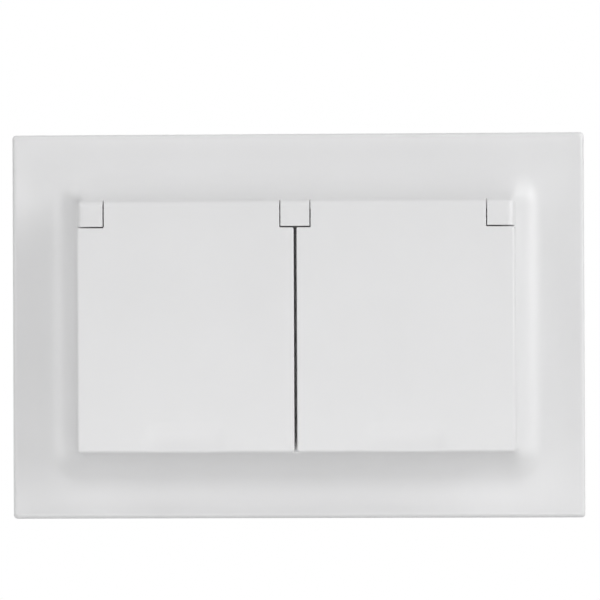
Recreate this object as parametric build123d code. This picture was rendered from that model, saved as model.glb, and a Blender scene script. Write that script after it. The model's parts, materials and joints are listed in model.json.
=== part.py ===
from build123d import *
import math
import os

os.makedirs("parts", exist_ok=True)

# Weatherproof double socket. All sizes in millimetres. Every solid is drawn
# lying down, x to the right, y up the wall and z out of it, with z = 0 on the
# wall plane, and is stood up against the wall when it is written out.

# Cover frame
plate_side = 15.795
rim_height = 10.0
rim_round = 1.0
collar_height = 16.0
collar_land = 0.3
cove_dip = 6.0
cove_bend = 12.0
cove_steep = 74.0
skin = 2.2
window_corner = 2.0
wall_seal = 3.0
wall_seal_depth = 2.0
wall_seal_corner = 0.5
face_seal = 0.8
face_seal_inset = 1.0
face_seal_corner = 1.5

# Lids
lids_front = 25.5
lids_gap = 0.65
lid_wall = 1.4
lid_skirt = 1.5
lid_top_wall = 1.2
lid_top_round = 1.8
lid_edge_round = 0.8
lid_clear = 0.3
scoop_width = 17.0
scoop_height = 6.5
scoop_depth = 0.35

# Hinge: its axis lies the same distance behind the front and under the top
axis_inset = 3.2
pin_radius = 1.0
pin_clear = 0.05
knuckle_radius = 2.9
knuckle_length = 4.0
post_drop = 2.65
post_gap = 0.25
post_outer_left = 5.9
post_outer_right = 6.1
post_middle = 6.35
post_corner = 1.1
swing_clear = 0.195
top_wall_tail = 2.2
open_angle = 110.0
stop_clear = 0.14
stop_offset = 10.0
stop_width = 6.0

# Lid spring
coil_radius = 1.37
lid_wire = 0.25
coil_pitch = 0.75
coil_turns = 4
coil_start = -53.0
spring_rest = 0.05
spring_offset = 2.3

# Recesses of the socket face
flange = 2.0
recess_radius = 19.75
recess_depth = 17.5
recess_drop = 2.5
cup_wall = 1.5
cup_floor = 1.8
cup_rim = 20.7
pin_pitch = 19.0
contact_pin = 4.8
pin_hole = 2.75
guide_width = 5.0
guide_depth = 2.3
key_angle = 45.0
gasket_wall = 0.6
gasket_rib = 1.6
gasket_rest = 0.1
gasket_height = 2.4
gasket_lip = 1.1
seal_beside = 0.54
seal_below = 1.95

# Mounting strap
strap_thick = 1.2
strap_side = 4.0
strap_end = 1.5
strap_room = 2.3
strap_corner = 6.0
window_round = 3.0
window_side = 1.45
window_end = 4.2
box_pitch = 60.0
box_slot = 4.2
box_slot_length = 8.0
rivet_x = 20.0
rivet_inset = 3.5

# Base moulding and rear cover
base_width = 73.6
base_height = 45.4
base_round = 37.6
base_depth = 19.5
cover_depth = 31.0
cover_wall = 1.6
fit = 0.3

# Contact strips
strip = 0.8
strip_width = 5.0
leaf = 0.6
leaf_length = 15.0
tail_width = 6.0
tail_x = 9.0
leaf_foot = 3.0

# Earth clips
clip_width = 4.2
clip_leaf = 0.6
clip_top = 14.4
clip_bulge = 1.15
clip_seat = 0.85
clip_out = 0.9

# Shutters
shutter_travel = 5.2
bar_length = 5.2
bar_thick = 2.5
rail_inner = 3.3
rail_outer = 4.6
spring_coil = 1.2
spring_wire = 0.2
spring_turns = 6

# Rivets and screws
rivet_shank = 1.25
rivet_head = 2.2
rivet_rise = 0.9
ear_thick = 3.0
drill_length = 10.0
screw_shank = 1.5
screw_head = 3.0
screw_rise = 1.6
screw_length = 16.0
cover_shank = 1.25
cover_bite = 9.0
cover_spots = [(28.0, -12.0), (-28.0, 10.0)]

# Terminals
clamp_width = 8.0
clamp_depth = 7.4
clamp_height = 6.0
clamp_wall = 0.8
clamp_room = 0.9
clamp_z = -25.0
tail_end = -28.6

# The lids cover the seals round the recesses, the strap's window clears the
# earth clips, the frame covers the strap and the wall seal, and the terminals
# stand inside the rear cover's wall
gasket_reach = recess_radius + (cup_wall + gasket_rib) / 2 + gasket_wall
lids_width = lids_gap + 4 * (lid_skirt + seal_beside + gasket_reach)
lids_height = 2 * (recess_drop + gasket_reach + seal_below + lid_skirt)
cup_x = (lids_width + lids_gap) / 4
cup_y = -recess_drop
turn = math.radians(key_angle)
clip_reach = recess_radius + clip_out
clip_x = (clip_reach + clip_leaf / 2) * math.sin(turn) + clip_width / 2 * math.cos(turn)
clip_y = (clip_reach + clip_leaf / 2) * math.cos(turn) + clip_width / 2 * math.sin(turn)
window_width = 2 * (cup_x + clip_x + window_side)
window_height = 2 * (recess_drop + clip_y + window_end)
strap_width = window_width + 2 * strap_side
strap_height = box_pitch + box_slot_length + 2 * strap_end
rivet_y = window_height / 2 + rivet_inset
plate_width = lids_width + 2 * plate_side
plate_height = strap_height + 2 * (strap_room + wall_seal + skin)
clamp_end = base_height / 2 - cover_wall - clamp_room
tail_reach = clamp_end - clamp_depth + clamp_wall + strip

# Derived positions
half_w = lids_width / 2
half_h = lids_height / 2
axis_y = half_h - axis_inset
axis_z = lids_front - axis_inset
post_bottom = axis_y - post_drop
flange_top = collar_height + flange
lid_rear = flange_top + lid_clear
lid_ceiling = lids_front - lid_wall
floor_top = cup_rim - recess_depth
floor_under = floor_top - cup_floor
cup_radius = recess_radius + cup_wall
pin_offset = pin_pitch / 2
post_reach = math.hypot(axis_inset, post_drop)
pin_dx = pin_offset * math.cos(turn)
pin_dy = pin_offset * math.sin(turn)
BACK = (Align.CENTER, Align.CENTER, Align.MIN)

# Each recess has its own frame: x along the pins and towards the middle
right_recess = Pos(cup_x, cup_y, 0) * Rot(0, 0, 180 + key_angle)
left_recess = Pos(-cup_x, cup_y, 0) * Rot(0, 0, key_angle)
recesses = {"left": left_recess, "right": right_recess}


def save(solid, name):
    """Stands a solid up against the wall and writes it under its node name."""
    solid = Rot(90, 0, 0) * solid
    solid.label = name
    export_step(solid, f"parts/{name}.step")


def block(x0, x1, y0, y1, z0, z1):
    """A box between two corners."""
    place = Pos((x0 + x1) / 2, (y0 + y1) / 2, (z0 + z1) / 2)
    return place * Box(x1 - x0, y1 - y0, z1 - z0)


def slab(sketch, z0, z1):
    """A sketch drawn on the wall plane, raised from z0 to z1."""
    return Pos(0, 0, z0) * extrude(sketch, z1 - z0)


def rod(x, y, radius, z0, z1):
    """A round bar that points out of the wall."""
    return Pos(x, y, z0) * Cylinder(radius, z1 - z0, align=BACK)


def cross_bar(y, z, radius, x0, x1):
    """A round bar along the width."""
    return Pos((x0 + x1) / 2, y, z) * Rot(0, 90, 0) * Cylinder(radius, x1 - x0)


def ring_sketch(width, height, corner, band):
    """A rounded rectangular band measured over its outside."""
    inner = max(corner - band, 0.2)
    outer = RectangleRounded(width, height, corner)
    return outer - RectangleRounded(width - 2 * band, height - 2 * band, inner)


# Cover frame: two coved sections, crossed, meet in a mitre at each corner
def coved_section(half, crest):
    """Section of the frame. From the upright rim a wide arc falls at cove_dip, turns
    up again and reaches cove_bend, where a tight arc takes over and ends at the flat
    crest at cove_steep. The two radii follow from the run and the rise."""
    dip, bend, steep = (math.radians(a) for a in (cove_dip, cove_bend, cove_steep))
    run = half - crest
    rise = collar_height - rim_height
    wide_run, wide_rise = math.sin(bend) + math.sin(dip), math.cos(dip) - math.cos(bend)
    tight_run = math.sin(steep) - math.sin(bend)
    tight_rise = math.cos(bend) - math.cos(steep)
    spread = wide_run * tight_rise - tight_run * wide_rise
    wide = (run * tight_rise - rise * tight_run) / spread
    tight = (wide_run * rise - wide_rise * run) / spread
    start = (-math.cos(dip), -math.sin(dip))
    outer = JernArc((half, rim_height), start, wide, -cove_dip - cove_bend)
    inner = JernArc(outer @ 1, outer % 1, tight, cove_bend - cove_steep)
    right = Line((half, 0), (half, rim_height)) + outer + inner
    left = mirror(right, about=Plane.YZ)
    crown = Line(inner @ 1, (-(inner @ 1).X, collar_height))
    return make_face(right + left + crown + Line((-half, 0), (half, 0)))


def coved_block(width, height, crest_w, crest_h, inset):
    """Everything under the coves, moved inwards by the inset."""
    solids = []
    for span, crest, plane in ((width, crest_w, Plane.XZ), (height, crest_h, Plane.YZ)):
        section = coved_section(span / 2, crest)
        if inset:
            foot = Pos(0, inset) * Rectangle(span - 2 * inset, 2 * inset)
            section = offset(section, -inset, kind=Kind.INTERSECTION) + foot
        solids.append(extrude(plane * section, max(width, height), both=True))
    return solids[0] & solids[1]


crest_w = half_w + collar_land
crest_h = half_h + collar_land
frame = coved_block(plate_width, plate_height, crest_w, crest_h, 0)
rim_edges = [e for e in frame.edges()
             if 0.1 < e.center().Z <= rim_height + 0.01
             and (abs(e.center().X) > plate_width / 2 - 0.01
                  or abs(e.center().Y) > plate_height / 2 - 0.01)]
frame = fillet(rim_edges, rim_round)
frame -= coved_block(plate_width, plate_height, crest_w, crest_h, skin)
window_w = 2 * (cup_x + cup_radius + fit)
window_h = lids_height - 2 * skin
frame -= slab(RectangleRounded(window_w, window_h, window_corner), 0, collar_height + 1)
seal = ring_sketch(lids_width - 2 * face_seal_inset, lids_height - 2 * face_seal_inset,
                   face_seal_corner, face_seal)
seal = slab(seal, collar_height - face_seal, collar_height)
frame -= seal
save(frame, "cover_frame")
save(seal, "face_gasket")
inside_w = plate_width - 2 * skin
inside_h = plate_height - 2 * skin
wall_ring = ring_sketch(inside_w, inside_h, wall_seal_corner, wall_seal)
save(slab(wall_ring, 0, wall_seal_depth), "wall_gasket")


# Socket face: flange, hinge posts and the two recesses in one moulding
face = slab(RectangleRounded(lids_width, lids_height, post_corner), collar_height, flange_top)
posts = block(-half_w, -half_w + post_outer_left, post_bottom, half_h, collar_height, lids_front)
posts += block(half_w - post_outer_right, half_w, post_bottom, half_h, collar_height, lids_front)
posts += block(-post_middle / 2, post_middle / 2, post_bottom, half_h, collar_height, lids_front)
corners = [e for e in posts.edges().filter_by(Axis.Z)
           if abs(e.center().X) > half_w - 0.1 and e.center().Y > half_h - 0.1]
posts = fillet(corners, post_corner)
brows = [e for e in posts.edges().filter_by(Axis.X)
         if e.center().Z > lids_front - 0.01 and e.center().Y > half_h - 0.01]
posts = fillet(brows, lid_top_round)
face += posts


def stops():
    """Ribs that the tail of each lid's top wall meets when it is fully open."""
    swing = math.radians(open_angle)
    low = -top_wall_tail * math.sin(swing) + axis_inset * math.cos(swing)
    top = axis_y + low - stop_clear
    ribs = Part()
    for middle in (-cup_x, cup_x):
        for x in (middle - stop_offset, middle + stop_offset):
            ribs += block(x - stop_width / 2, x + stop_width / 2, top - 1.0, top,
                          flange_top, axis_z - 1.2)
    return ribs


face += stops()
for place in recesses.values():
    face += place * rod(0, 0, cup_radius, floor_under, cup_rim)
for place in recesses.values():
    face -= place * rod(0, 0, recess_radius, floor_top, cup_rim + 1)
    for side in (-1, 1):
        guide = block(recess_radius - guide_depth, recess_radius + 0.5,
                      -guide_width / 2, guide_width / 2, floor_top, cup_rim - 1.0)
        face += place * Rot(0, 0, 90 - 90 * side) * guide
        face -= place * rod(side * pin_offset, 0, pin_hole, floor_under, floor_top)
        slot = block(-clip_width / 2 - fit, clip_width / 2 + fit, recess_radius - 1.8,
                     cup_radius + 1, floor_under, clip_top + 0.6)
        face -= place * Rot(0, 0, 90 - 90 * side) * slot
    face -= place * rod(0, 0, 1.7, floor_under, floor_top)
bores = {"left": (-half_w, -0.5), "right": (0.5, half_w)}
for x0, x1 in bores.values():
    face -= cross_bar(axis_y, axis_z, pin_radius, x0, x1)
save(face, "socket_face")

for side, (x0, x1) in bores.items():
    ends = (x0 + 0.3, x1) if side == "left" else (x0, x1 - 0.3)
    save(cross_bar(axis_y, axis_z, pin_radius, *ends), f"{side}_hinge_pin")


# Lids
def lid(outer_post):
    """The right-hand lid; the left-hand one is its mirror image."""
    x0 = lids_gap / 2
    x1 = half_w
    outside = block(x0, x1, -half_h, half_h, lid_rear, lids_front)
    front = outside.edges().filter_by_position(Axis.Z, lids_front - 0.01, lids_front + 0.01)
    outside = fillet(front.sort_by(Axis.Y)[-1], lid_top_round)
    soft = [e for e in outside.edges()
            if e.center().Y < half_h - lid_top_round
            and (e.center().Z > lids_front - 0.01
                 or (abs(e.center().X - x0) < 0.01 or abs(e.center().X - x1) < 0.01)
                 and e.center().Y < -half_h + 0.01)]
    outside = fillet(soft, lid_edge_round)
    body = outside - block(x0 + lid_skirt, x1 - lid_skirt, -half_h + lid_skirt,
                           half_h - lid_top_wall, lid_rear, lid_ceiling)
    body -= block(x0, x1, post_bottom, half_h, lid_rear, axis_z - top_wall_tail)
    ear0 = post_middle / 2 + post_gap
    ear1 = half_w - outer_post - post_gap
    for end in (ear0, ear1 - knuckle_length):
        knuckle = cross_bar(axis_y, axis_z, knuckle_radius, end, end + knuckle_length)
        knuckle += block(end, end + knuckle_length, axis_y, axis_y + 2.5, axis_z, axis_z + 2.5)
        body += knuckle
    for a, b in ((x0 - 1, ear0), (ear1, x1 + 1)):
        body -= block(a, b, post_bottom - post_gap, half_h + 1, lid_rear - 1, lids_front + 1)
        body -= cross_bar(axis_y, axis_z, post_reach + swing_clear, a, b)
    body -= cross_bar(axis_y, axis_z, pin_radius + pin_clear, ear0 - 1, ear1 + 1)
    rib_mid = recess_radius + cup_wall / 2
    rib_end = cup_rim + gasket_rest + gasket_lip
    rib = rod(cup_x, cup_y, rib_mid + gasket_rib / 2, rib_end, lid_ceiling)
    rib -= rod(cup_x, cup_y, rib_mid - gasket_rib / 2, cup_rim, lid_ceiling)
    body += rib
    ball = (scoop_height ** 2 / 4 + scoop_depth ** 2) / (2 * scoop_depth)
    scoop = Pos(cup_x, -half_h + scoop_height / 2, lids_front + ball - scoop_depth)
    bar = scoop * Rot(0, 90, 0) * Cylinder(ball, scoop_width)
    return body - bar


lids = {"right": lid(post_outer_right), "left": mirror(lid(post_outer_left), about=Plane.YZ)}
for side, solid in lids.items():
    save(solid, f"{side}_lid")

for side, sign in (("left", -1), ("right", 1)):
    low = cup_rim + gasket_rest
    mid = low + gasket_lip
    high = low + gasket_height
    rib_mid = recess_radius + cup_wall / 2
    inner = rib_mid - gasket_rib / 2
    outer = rib_mid + gasket_rib / 2
    gasket = rod(0, 0, outer + gasket_wall, low, high) - rod(0, 0, inner - gasket_wall, low, high)
    gasket -= rod(0, 0, outer, mid, high) - rod(0, 0, inner, mid, high)
    save(Pos(sign * cup_x, cup_y, 0) * gasket, f"{side}_lid_gasket")


# Lid springs: a coil round the hinge pin with one leg down on the flange and
# the other up under the tail of the lid's top wall
def lid_spring(x):
    """Torsion spring centred at x on the hinge axis."""
    ceiling = axis_inset - lid_top_wall - lid_wire - spring_rest
    behind = top_wall_tail - 0.3
    lift = math.acos(coil_radius / math.hypot(ceiling, behind)) - math.atan2(behind, ceiling)
    start = math.radians(coil_start)
    drop = axis_z - flange_top - lid_wire - spring_rest
    fixed_leg = (coil_radius * math.cos(start) + drop) / -math.sin(start)
    moving_leg = (coil_radius * math.sin(lift) + behind) / math.cos(lift)
    turns = coil_turns + (90 - math.degrees(lift) - coil_start) / 360
    coil = Helix(coil_pitch, coil_pitch * turns, coil_radius)
    foot = Line((coil @ 0) - (coil % 0) * fixed_leg, coil @ 0)
    tip = Line(coil @ 1, (coil @ 1) + (coil % 1) * moving_leg)
    path = Wire([foot.edge(), coil.edge(), tip.edge()])
    section = Plane(path @ 0, z_dir=path % 0) * RegularPolygon(lid_wire, 8)
    wire = sweep(section, path)
    place = Plane((x + coil_pitch * turns / 2, axis_y, axis_z), x_dir=(0, 0, 1), z_dir=(-1, 0, 0))
    return place * Rot(0, 0, coil_start) * wire


for side, sign in (("left", -1), ("right", 1)):
    save(lid_spring(sign * (cup_x - spring_offset)), f"{side}_lid_spring")


# Mounting strap, riveted to the base and slotted for the wall box's screws
strap_sketch = RectangleRounded(strap_width, strap_height, strap_corner)
strap_sketch -= RectangleRounded(window_width, window_height, window_round)
strap_sketch -= GridLocations(0, box_pitch, 1, 2) * SlotOverall(box_slot_length, box_slot, 90)
rivet_spots = [Pos(x, y) for x in (-rivet_x, rivet_x) for y in (-rivet_y, rivet_y)]
earth_spot = Pos(tail_x, rivet_y)
for spot in rivet_spots + [earth_spot]:
    strap_sketch -= spot * Circle(rivet_shank)
save(slab(strap_sketch, 0, strap_thick), "mounting_strap")


def rivet(spot, seat, tail):
    """A rivet with a low domed head standing on the seat."""
    shank = Pos(0, 0, tail) * Cylinder(rivet_shank, seat - tail, align=BACK)
    head = Pos(0, 0, seat) * Cylinder(rivet_head, rivet_rise, align=BACK)
    head = chamfer(head.edges().group_by(Axis.Z)[-1], rivet_rise / 2)
    return spot * (shank + head)


rivets = Part()
for spot in rivet_spots:
    rivets += rivet(spot, strap_thick, -ear_thick)
save(rivets, "strap_rivets")
save(rivet(earth_spot, strap_thick + strip, 0), "earth_rivet")


# Contact strips: each joins the two clips of its own pole and ends in a tail
# that turns back to its terminal
strip_rear = -base_depth - strip
strip_front = -base_depth
live_pins = [(-cup_x + pin_dx, cup_y + pin_dy), (cup_x + pin_dx, cup_y + pin_dy)]
neutral_pins = [(-cup_x - pin_dx, cup_y - pin_dy), (cup_x - pin_dx, cup_y - pin_dy)]


def pin_clip():
    """Two bowed leaves that grip one pin, drawn at the origin along z."""
    side = Spline((leaf_foot, 0), (leaf_foot, leaf_length * 0.2),
                  (contact_pin / 2 - 0.2 + leaf / 2, leaf_length * 0.72),
                  (leaf_foot - 0.1, leaf_length))
    profile = trace(side, leaf)
    pair = profile + mirror(profile, about=Plane.YZ)
    clip = extrude(Plane.YZ * pair, strip_width / 2, both=True)
    return clip


def contact_strip(pins, side, x):
    """A bus strip with a clip at each pin and a tail at x, up or down by side."""
    y = pins[0][1]
    reach = strip_width / 2
    bar = block(pins[0][0] - reach, pins[1][0] + reach, y - leaf_foot - leaf / 2,
                y + leaf_foot + leaf / 2, strip_rear, strip_front)
    for px, py in pins:
        bar += Pos(px, py, strip_front - 0.1) * pin_clip()
    low, high = sorted((y, side * tail_reach))
    bar += block(x - tail_width / 2, x + tail_width / 2, low, high, strip_rear, strip_front)
    low, high = sorted((side * tail_reach, side * (tail_reach - strip)))
    bar += block(x - tail_width / 2, x + tail_width / 2, low, high, tail_end, strip_front)
    return bar


save(contact_strip(live_pins, 1, -tail_x), "live_strip")
save(contact_strip(neutral_pins, -1, tail_x), "neutral_strip")


# Earth clips: one sprung strip across each recess, on a shared bridge
def earth_clip():
    """A strip with upturned, bulging ends, drawn across the pins of a recess."""
    path = FilletPolyline((0, 0), (clip_reach, 0), (clip_reach, 4.0),
                          (clip_reach - clip_bulge * 2, 9.0),
                          (clip_reach, clip_top - clip_seat), radius=0.8)
    half = trace(path, clip_leaf)
    profile = half + mirror(half, about=Plane.YZ)
    clip = extrude(Plane.YZ * profile, clip_width / 2, both=True)
    clip += rod(0, 0, 3.4, -clip_leaf / 2, clip_leaf / 2)
    clip -= rod(0, 0, 1.7, -1, 1)
    return Pos(0, 0, clip_seat) * clip


for side, place in recesses.items():
    save(place * earth_clip(), f"{side}_earth_clip")

bridge_top = clip_seat - clip_leaf / 2
bridge_low = bridge_top - strip
joint = recess_radius - 3.0
high_end = (cup_x - joint * math.sin(turn), cup_y + joint * math.cos(turn))
low_end = (-high_end[0], 2 * cup_y - high_end[1])
lean = math.degrees(math.atan2(high_end[1] - low_end[1], high_end[0] - low_end[0]))
span = math.hypot(high_end[0] - low_end[0], high_end[1] - low_end[1]) + 3.0
diagonal = Pos(0, cup_y) * Rot(0, 0, lean) * SlotOverall(span + strip_width, strip_width)
foot_x0 = tail_x - tail_width / 2
foot_x1 = tail_x + tail_width / 2
step_y = window_height / 2 - 1.5
bridge = slab(diagonal, bridge_low, bridge_top)
bridge += block(foot_x0, foot_x1, high_end[1], step_y + strip, bridge_low, bridge_top)
bridge += block(foot_x0, foot_x1, step_y, step_y + strip, bridge_low, strap_thick + strip)
bridge += block(foot_x0, foot_x1, step_y, rivet_y + 3, strap_thick, strap_thick + strip)
bridge += block(foot_x0, foot_x1, tail_reach - strip, tail_reach, tail_end, bridge_top)
bridge -= earth_spot * Cylinder(rivet_shank, drill_length)
save(bridge, "earth_bridge")


# Shutters: a sliding frame with a wedge over each pin hole, pushed shut
slide_floor = clip_seat - clip_leaf / 2 - 0.2 - bar_thick


def shutter():
    """The slider, drawn shut; it opens along x when both pins press its wedges."""
    solid = Part()
    start = -pin_offset - contact_pin / 2 - 0.2
    for x in (start, start + pin_pitch):
        wedge = Polygon((x, 0), (x + bar_length, 0), (x + bar_length, bar_thick),
                        (x, bar_thick * 0.35), align=None)
        solid += extrude(Plane.XZ * wedge, rail_outer, both=True)
    for side in (-1, 1):
        low, high = sorted((side * rail_inner, side * rail_outer))
        solid += block(start, start + pin_pitch + bar_length, low, high, 0, bar_thick * 0.35)
    return Pos(0, 0, slide_floor) * solid


slider_end = pin_offset + bar_length - contact_pin / 2 - 0.2
spring_seat = slider_end + shutter_travel + 3.4
for side, place in recesses.items():
    save(place * shutter(), f"{side}_shutter")
    length = spring_seat - slider_end - 0.2
    pitch = (length - 2 * spring_wire) / spring_turns
    coil = Helix(pitch, pitch * spring_turns, spring_coil, direction=(1, 0, 0))
    section = Plane(coil @ 0, z_dir=coil % 0) * RegularPolygon(spring_wire, 6)
    wire = Pos(slider_end + 0.1 + spring_wire, 0, slide_floor + bar_thick / 2) * sweep(section, coil)
    save(place * wire, f"{side}_shutter_spring")


# Base moulding: the front plate fills the strap's window, the block behind it
# holds the contacts, and the rear cover closes the terminals
base_disc = Rectangle(base_width, base_height) & Circle(base_round)
base = slab(base_disc, -base_depth, 0)
front_plate = RectangleRounded(window_width - 2 * fit, window_height - 2 * fit,
                               window_round - fit)
base += slab(front_plate, 0, strap_thick)
for spot in rivet_spots:
    inner = spot.position.Y * (window_height / 2 - 2) / rivet_y
    low, high = sorted((inner, spot.position.Y * 1.09))
    base += block(spot.position.X - 4, spot.position.X + 4, low, high, -ear_thick, 0)
    base -= spot * Cylinder(rivet_shank, drill_length)
for pins in (live_pins, neutral_pins):
    for px, py in pins:
        base -= block(px - strip_width / 2 - fit, px + strip_width / 2 + fit,
                      py - leaf_foot - leaf / 2 - fit, py + leaf_foot + leaf / 2 + fit,
                      -base_depth, -base_depth + leaf_length + 0.5)
        base -= rod(px, py, contact_pin / 2 + 0.4, -base_depth, strap_thick)
for place in recesses.values():
    pocket = block(-slider_end - 0.3, spring_seat, -rail_outer - fit, rail_outer + fit,
                   slide_floor - 0.2, strap_thick)
    base -= place * pocket
    groove = block(-clip_width / 2 - 0.1, clip_width / 2 + 0.1, -recess_radius - 1.6,
                   recess_radius + 1.6, clip_seat - clip_leaf / 2, strap_thick)
    base -= place * groove
    base -= place * rod(0, 0, 3.6, clip_seat - clip_leaf / 2, strap_thick)
    base -= place * rod(0, 0, screw_shank, -screw_length, strap_thick)
    for end in (-1, 1):
        low, high = sorted((end * (recess_radius + 0.2), end * (recess_radius + 2.0)))
        base -= place * block(-clip_width / 2 - 0.1, clip_width / 2 + 0.1, low, high,
                              clip_seat - clip_leaf / 2, strap_thick)
base -= slab(offset(diagonal, 0.1), bridge_low, strap_thick)
base -= block(foot_x0 - 0.1, foot_x1 + 0.1, high_end[1], step_y + strip + 0.2, bridge_low, strap_thick)
base -= block(foot_x0 - 0.1, foot_x1 + 0.1, step_y, base_height, strap_thick, strap_thick + 1)
base -= block(foot_x0 - 0.1, foot_x1 + 0.1, tail_reach - strip - 0.1, tail_reach + 0.1,
              -base_depth, strap_thick)
for x, y in cover_spots:
    base -= rod(x, y, cover_shank, -base_depth, -base_depth + cover_bite)
save(base, "base_moulding")


# Rear cover with wire holes, a terminal under each and its own two screws
terminals = {"live": (-tail_x, 1), "earth": (tail_x, 1), "neutral": (tail_x, -1)}
inner_disc = Rectangle(base_width - 2 * cover_wall, base_height - 2 * cover_wall)
inner_disc = inner_disc & Circle(base_round - cover_wall)
cover = slab(base_disc, -cover_depth, -base_depth)
cover -= slab(inner_disc, -cover_depth + cover_wall, -base_depth)
for x, y in cover_spots:
    cover += rod(x, y, 3.0, -cover_depth, -base_depth)
    cover -= rod(x, y, cover_shank, -cover_depth, -base_depth)
    cover -= rod(x, y, 2.4, -cover_depth, -cover_depth + 1.4)
for x, side in terminals.values():
    wire_y = side * (tail_reach + 1.9)
    for dx in (-1.6, 1.6):
        cover -= rod(x + dx, wire_y, 1.4, -cover_depth - 1, -cover_depth + cover_wall)
    hole = Pos(x, side * base_height / 2, clamp_z) * Rot(90, 0, 0) * Cylinder(2.4, 4 * cover_wall)
    cover -= hole
save(cover, "rear_cover")


def cage():
    """A clamp cage, drawn with its tail opening along z and its screw along y."""
    outer = Box(clamp_width, clamp_depth, clamp_height)
    opening = Box(clamp_width - 2 * clamp_wall, clamp_depth - 2 * clamp_wall, clamp_height)
    return outer - opening


cage_y = clamp_end - clamp_depth / 2
for name, (x, side) in terminals.items():
    body = Pos(x, side * cage_y, clamp_z) * cage()
    tip = side * (tail_reach + 2.6)
    seat = side * (cage_y + clamp_depth / 2)
    head = seat + side * 1.8
    low, high = sorted((tip, seat))
    shank = Pos(x, (low + high) / 2, clamp_z) * Rot(90, 0, 0) * Cylinder(1.5, high - low)
    low, high = sorted((seat, head))
    top = Pos(x, (low + high) / 2, clamp_z) * Rot(90, 0, 0) * Cylinder(2.1, high - low)
    save(body - shank, f"{name}_terminal_clamp")
    save(shank + top, f"{name}_terminal_screw")

cover_screws = Part()
for x, y in cover_spots:
    cover_screws += rod(x, y, cover_shank, -cover_depth + 1.4, -base_depth + cover_bite)
    cover_screws += rod(x, y, 2.2, -cover_depth + 0.2, -cover_depth + 1.4)
save(cover_screws, "rear_cover_screws")

for side, place in recesses.items():
    screw = rod(0, 0, screw_shank, -screw_length, floor_top)
    head = rod(0, 0, screw_head, floor_top, floor_top + screw_rise)
    head = fillet(head.edges().group_by(Axis.Z)[-1], screw_rise / 2)
    save(place * (screw + head), f"{side}_face_screw")
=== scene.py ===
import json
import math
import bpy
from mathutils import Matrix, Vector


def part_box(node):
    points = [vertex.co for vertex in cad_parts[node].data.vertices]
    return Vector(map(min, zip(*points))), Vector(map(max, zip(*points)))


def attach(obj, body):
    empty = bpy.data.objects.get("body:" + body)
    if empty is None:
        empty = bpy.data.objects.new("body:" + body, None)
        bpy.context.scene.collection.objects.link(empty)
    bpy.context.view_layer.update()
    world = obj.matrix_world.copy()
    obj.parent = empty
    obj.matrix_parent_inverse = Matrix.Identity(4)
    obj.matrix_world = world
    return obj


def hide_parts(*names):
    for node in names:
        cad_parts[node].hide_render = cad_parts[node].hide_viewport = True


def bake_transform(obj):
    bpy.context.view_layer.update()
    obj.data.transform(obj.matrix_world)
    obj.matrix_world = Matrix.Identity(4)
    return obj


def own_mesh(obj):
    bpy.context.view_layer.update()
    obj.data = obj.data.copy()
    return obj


bl_info = {
    "name": "Weatherproof double socket",
    "version": (1, 0, 0),
    "blender": (4, 5, 0),
    "location": "3D View > Sidebar > Socket",
    "description": "Moulded shells, springs, screws and finishes of a double wall socket with sprung lids",
    "category": "Object",
}

import bpy
import numpy as np
from bpy.props import FloatProperty, FloatVectorProperty, IntProperty, PointerProperty
from mathutils import Matrix, Vector

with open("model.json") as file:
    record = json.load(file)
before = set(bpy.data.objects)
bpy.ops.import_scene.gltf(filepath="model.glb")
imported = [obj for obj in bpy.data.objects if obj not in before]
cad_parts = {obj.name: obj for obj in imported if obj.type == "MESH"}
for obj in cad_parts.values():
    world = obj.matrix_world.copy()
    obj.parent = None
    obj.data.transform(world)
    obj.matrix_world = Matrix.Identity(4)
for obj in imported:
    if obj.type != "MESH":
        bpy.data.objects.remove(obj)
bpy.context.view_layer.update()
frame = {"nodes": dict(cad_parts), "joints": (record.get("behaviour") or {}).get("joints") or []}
MM = 0.001
SIDES = {"left": -1, "right": 1}
TERMINALS = ("live", "neutral", "earth")


# Sizes read from the frame, in millimetres. Shapes are drawn with x to the right,
# y up the wall and h out of the wall, as the socket is seen by its user
def extent(node):
    """Lowest and highest x, y and h of a node."""
    low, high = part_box(node)
    return (np.array([low.x, low.z, -high.y]) / MM, np.array([high.x, high.z, -low.y]) / MM)


PLATE_HIGH = extent("cover_frame")[1]
LID_LOW, LID_HIGH = extent("right_lid")
FACE_HIGH = extent("socket_face")[1]
PIN_LOW, PIN_HIGH = extent("right_hinge_pin")
RING_LOW, RING_HIGH = extent("right_lid_gasket")
SEAL_HIGH = extent("face_gasket")[1]
AXIS_Y, AXIS_H = (PIN_LOW[1:] + PIN_HIGH[1:]) / 2
RECESS = (RING_LOW[:2] + RING_HIGH[:2]) / 2
FINEST = 0.2  # Smallest radius or step of a moulded edge


def size_property(name, description, default):
    """A length in millimetres that the user can change."""
    return FloatProperty(name=name, description=f"{description}, in mm", default=default, min=0.0)


def share_property(name, description, default):
    """A share between 0 and 1 that the user can change."""
    return FloatProperty(name=name, description=description, default=default, min=0.0, max=1.0)


def angle_property(name, description, degrees):
    """An angle that the user can change."""
    return FloatProperty(name=name, description=description, default=math.radians(degrees),
                         subtype="ANGLE")


def metre_property(name, description, default):
    """A length in metres that the user can change."""
    return FloatProperty(name=name, description=description, default=default, unit="LENGTH")


def colour_property(name, description, default):
    """A linear colour that the user can change."""
    return FloatVectorProperty(name=name, description=description, default=default,
                               subtype="COLOR", size=3, min=0.0, max=1.0)


def watt_property(name, power):
    """The power of a lamp."""
    return FloatProperty(name=name, description="Power of this lamp, in W", default=power, min=0.0)


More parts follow.
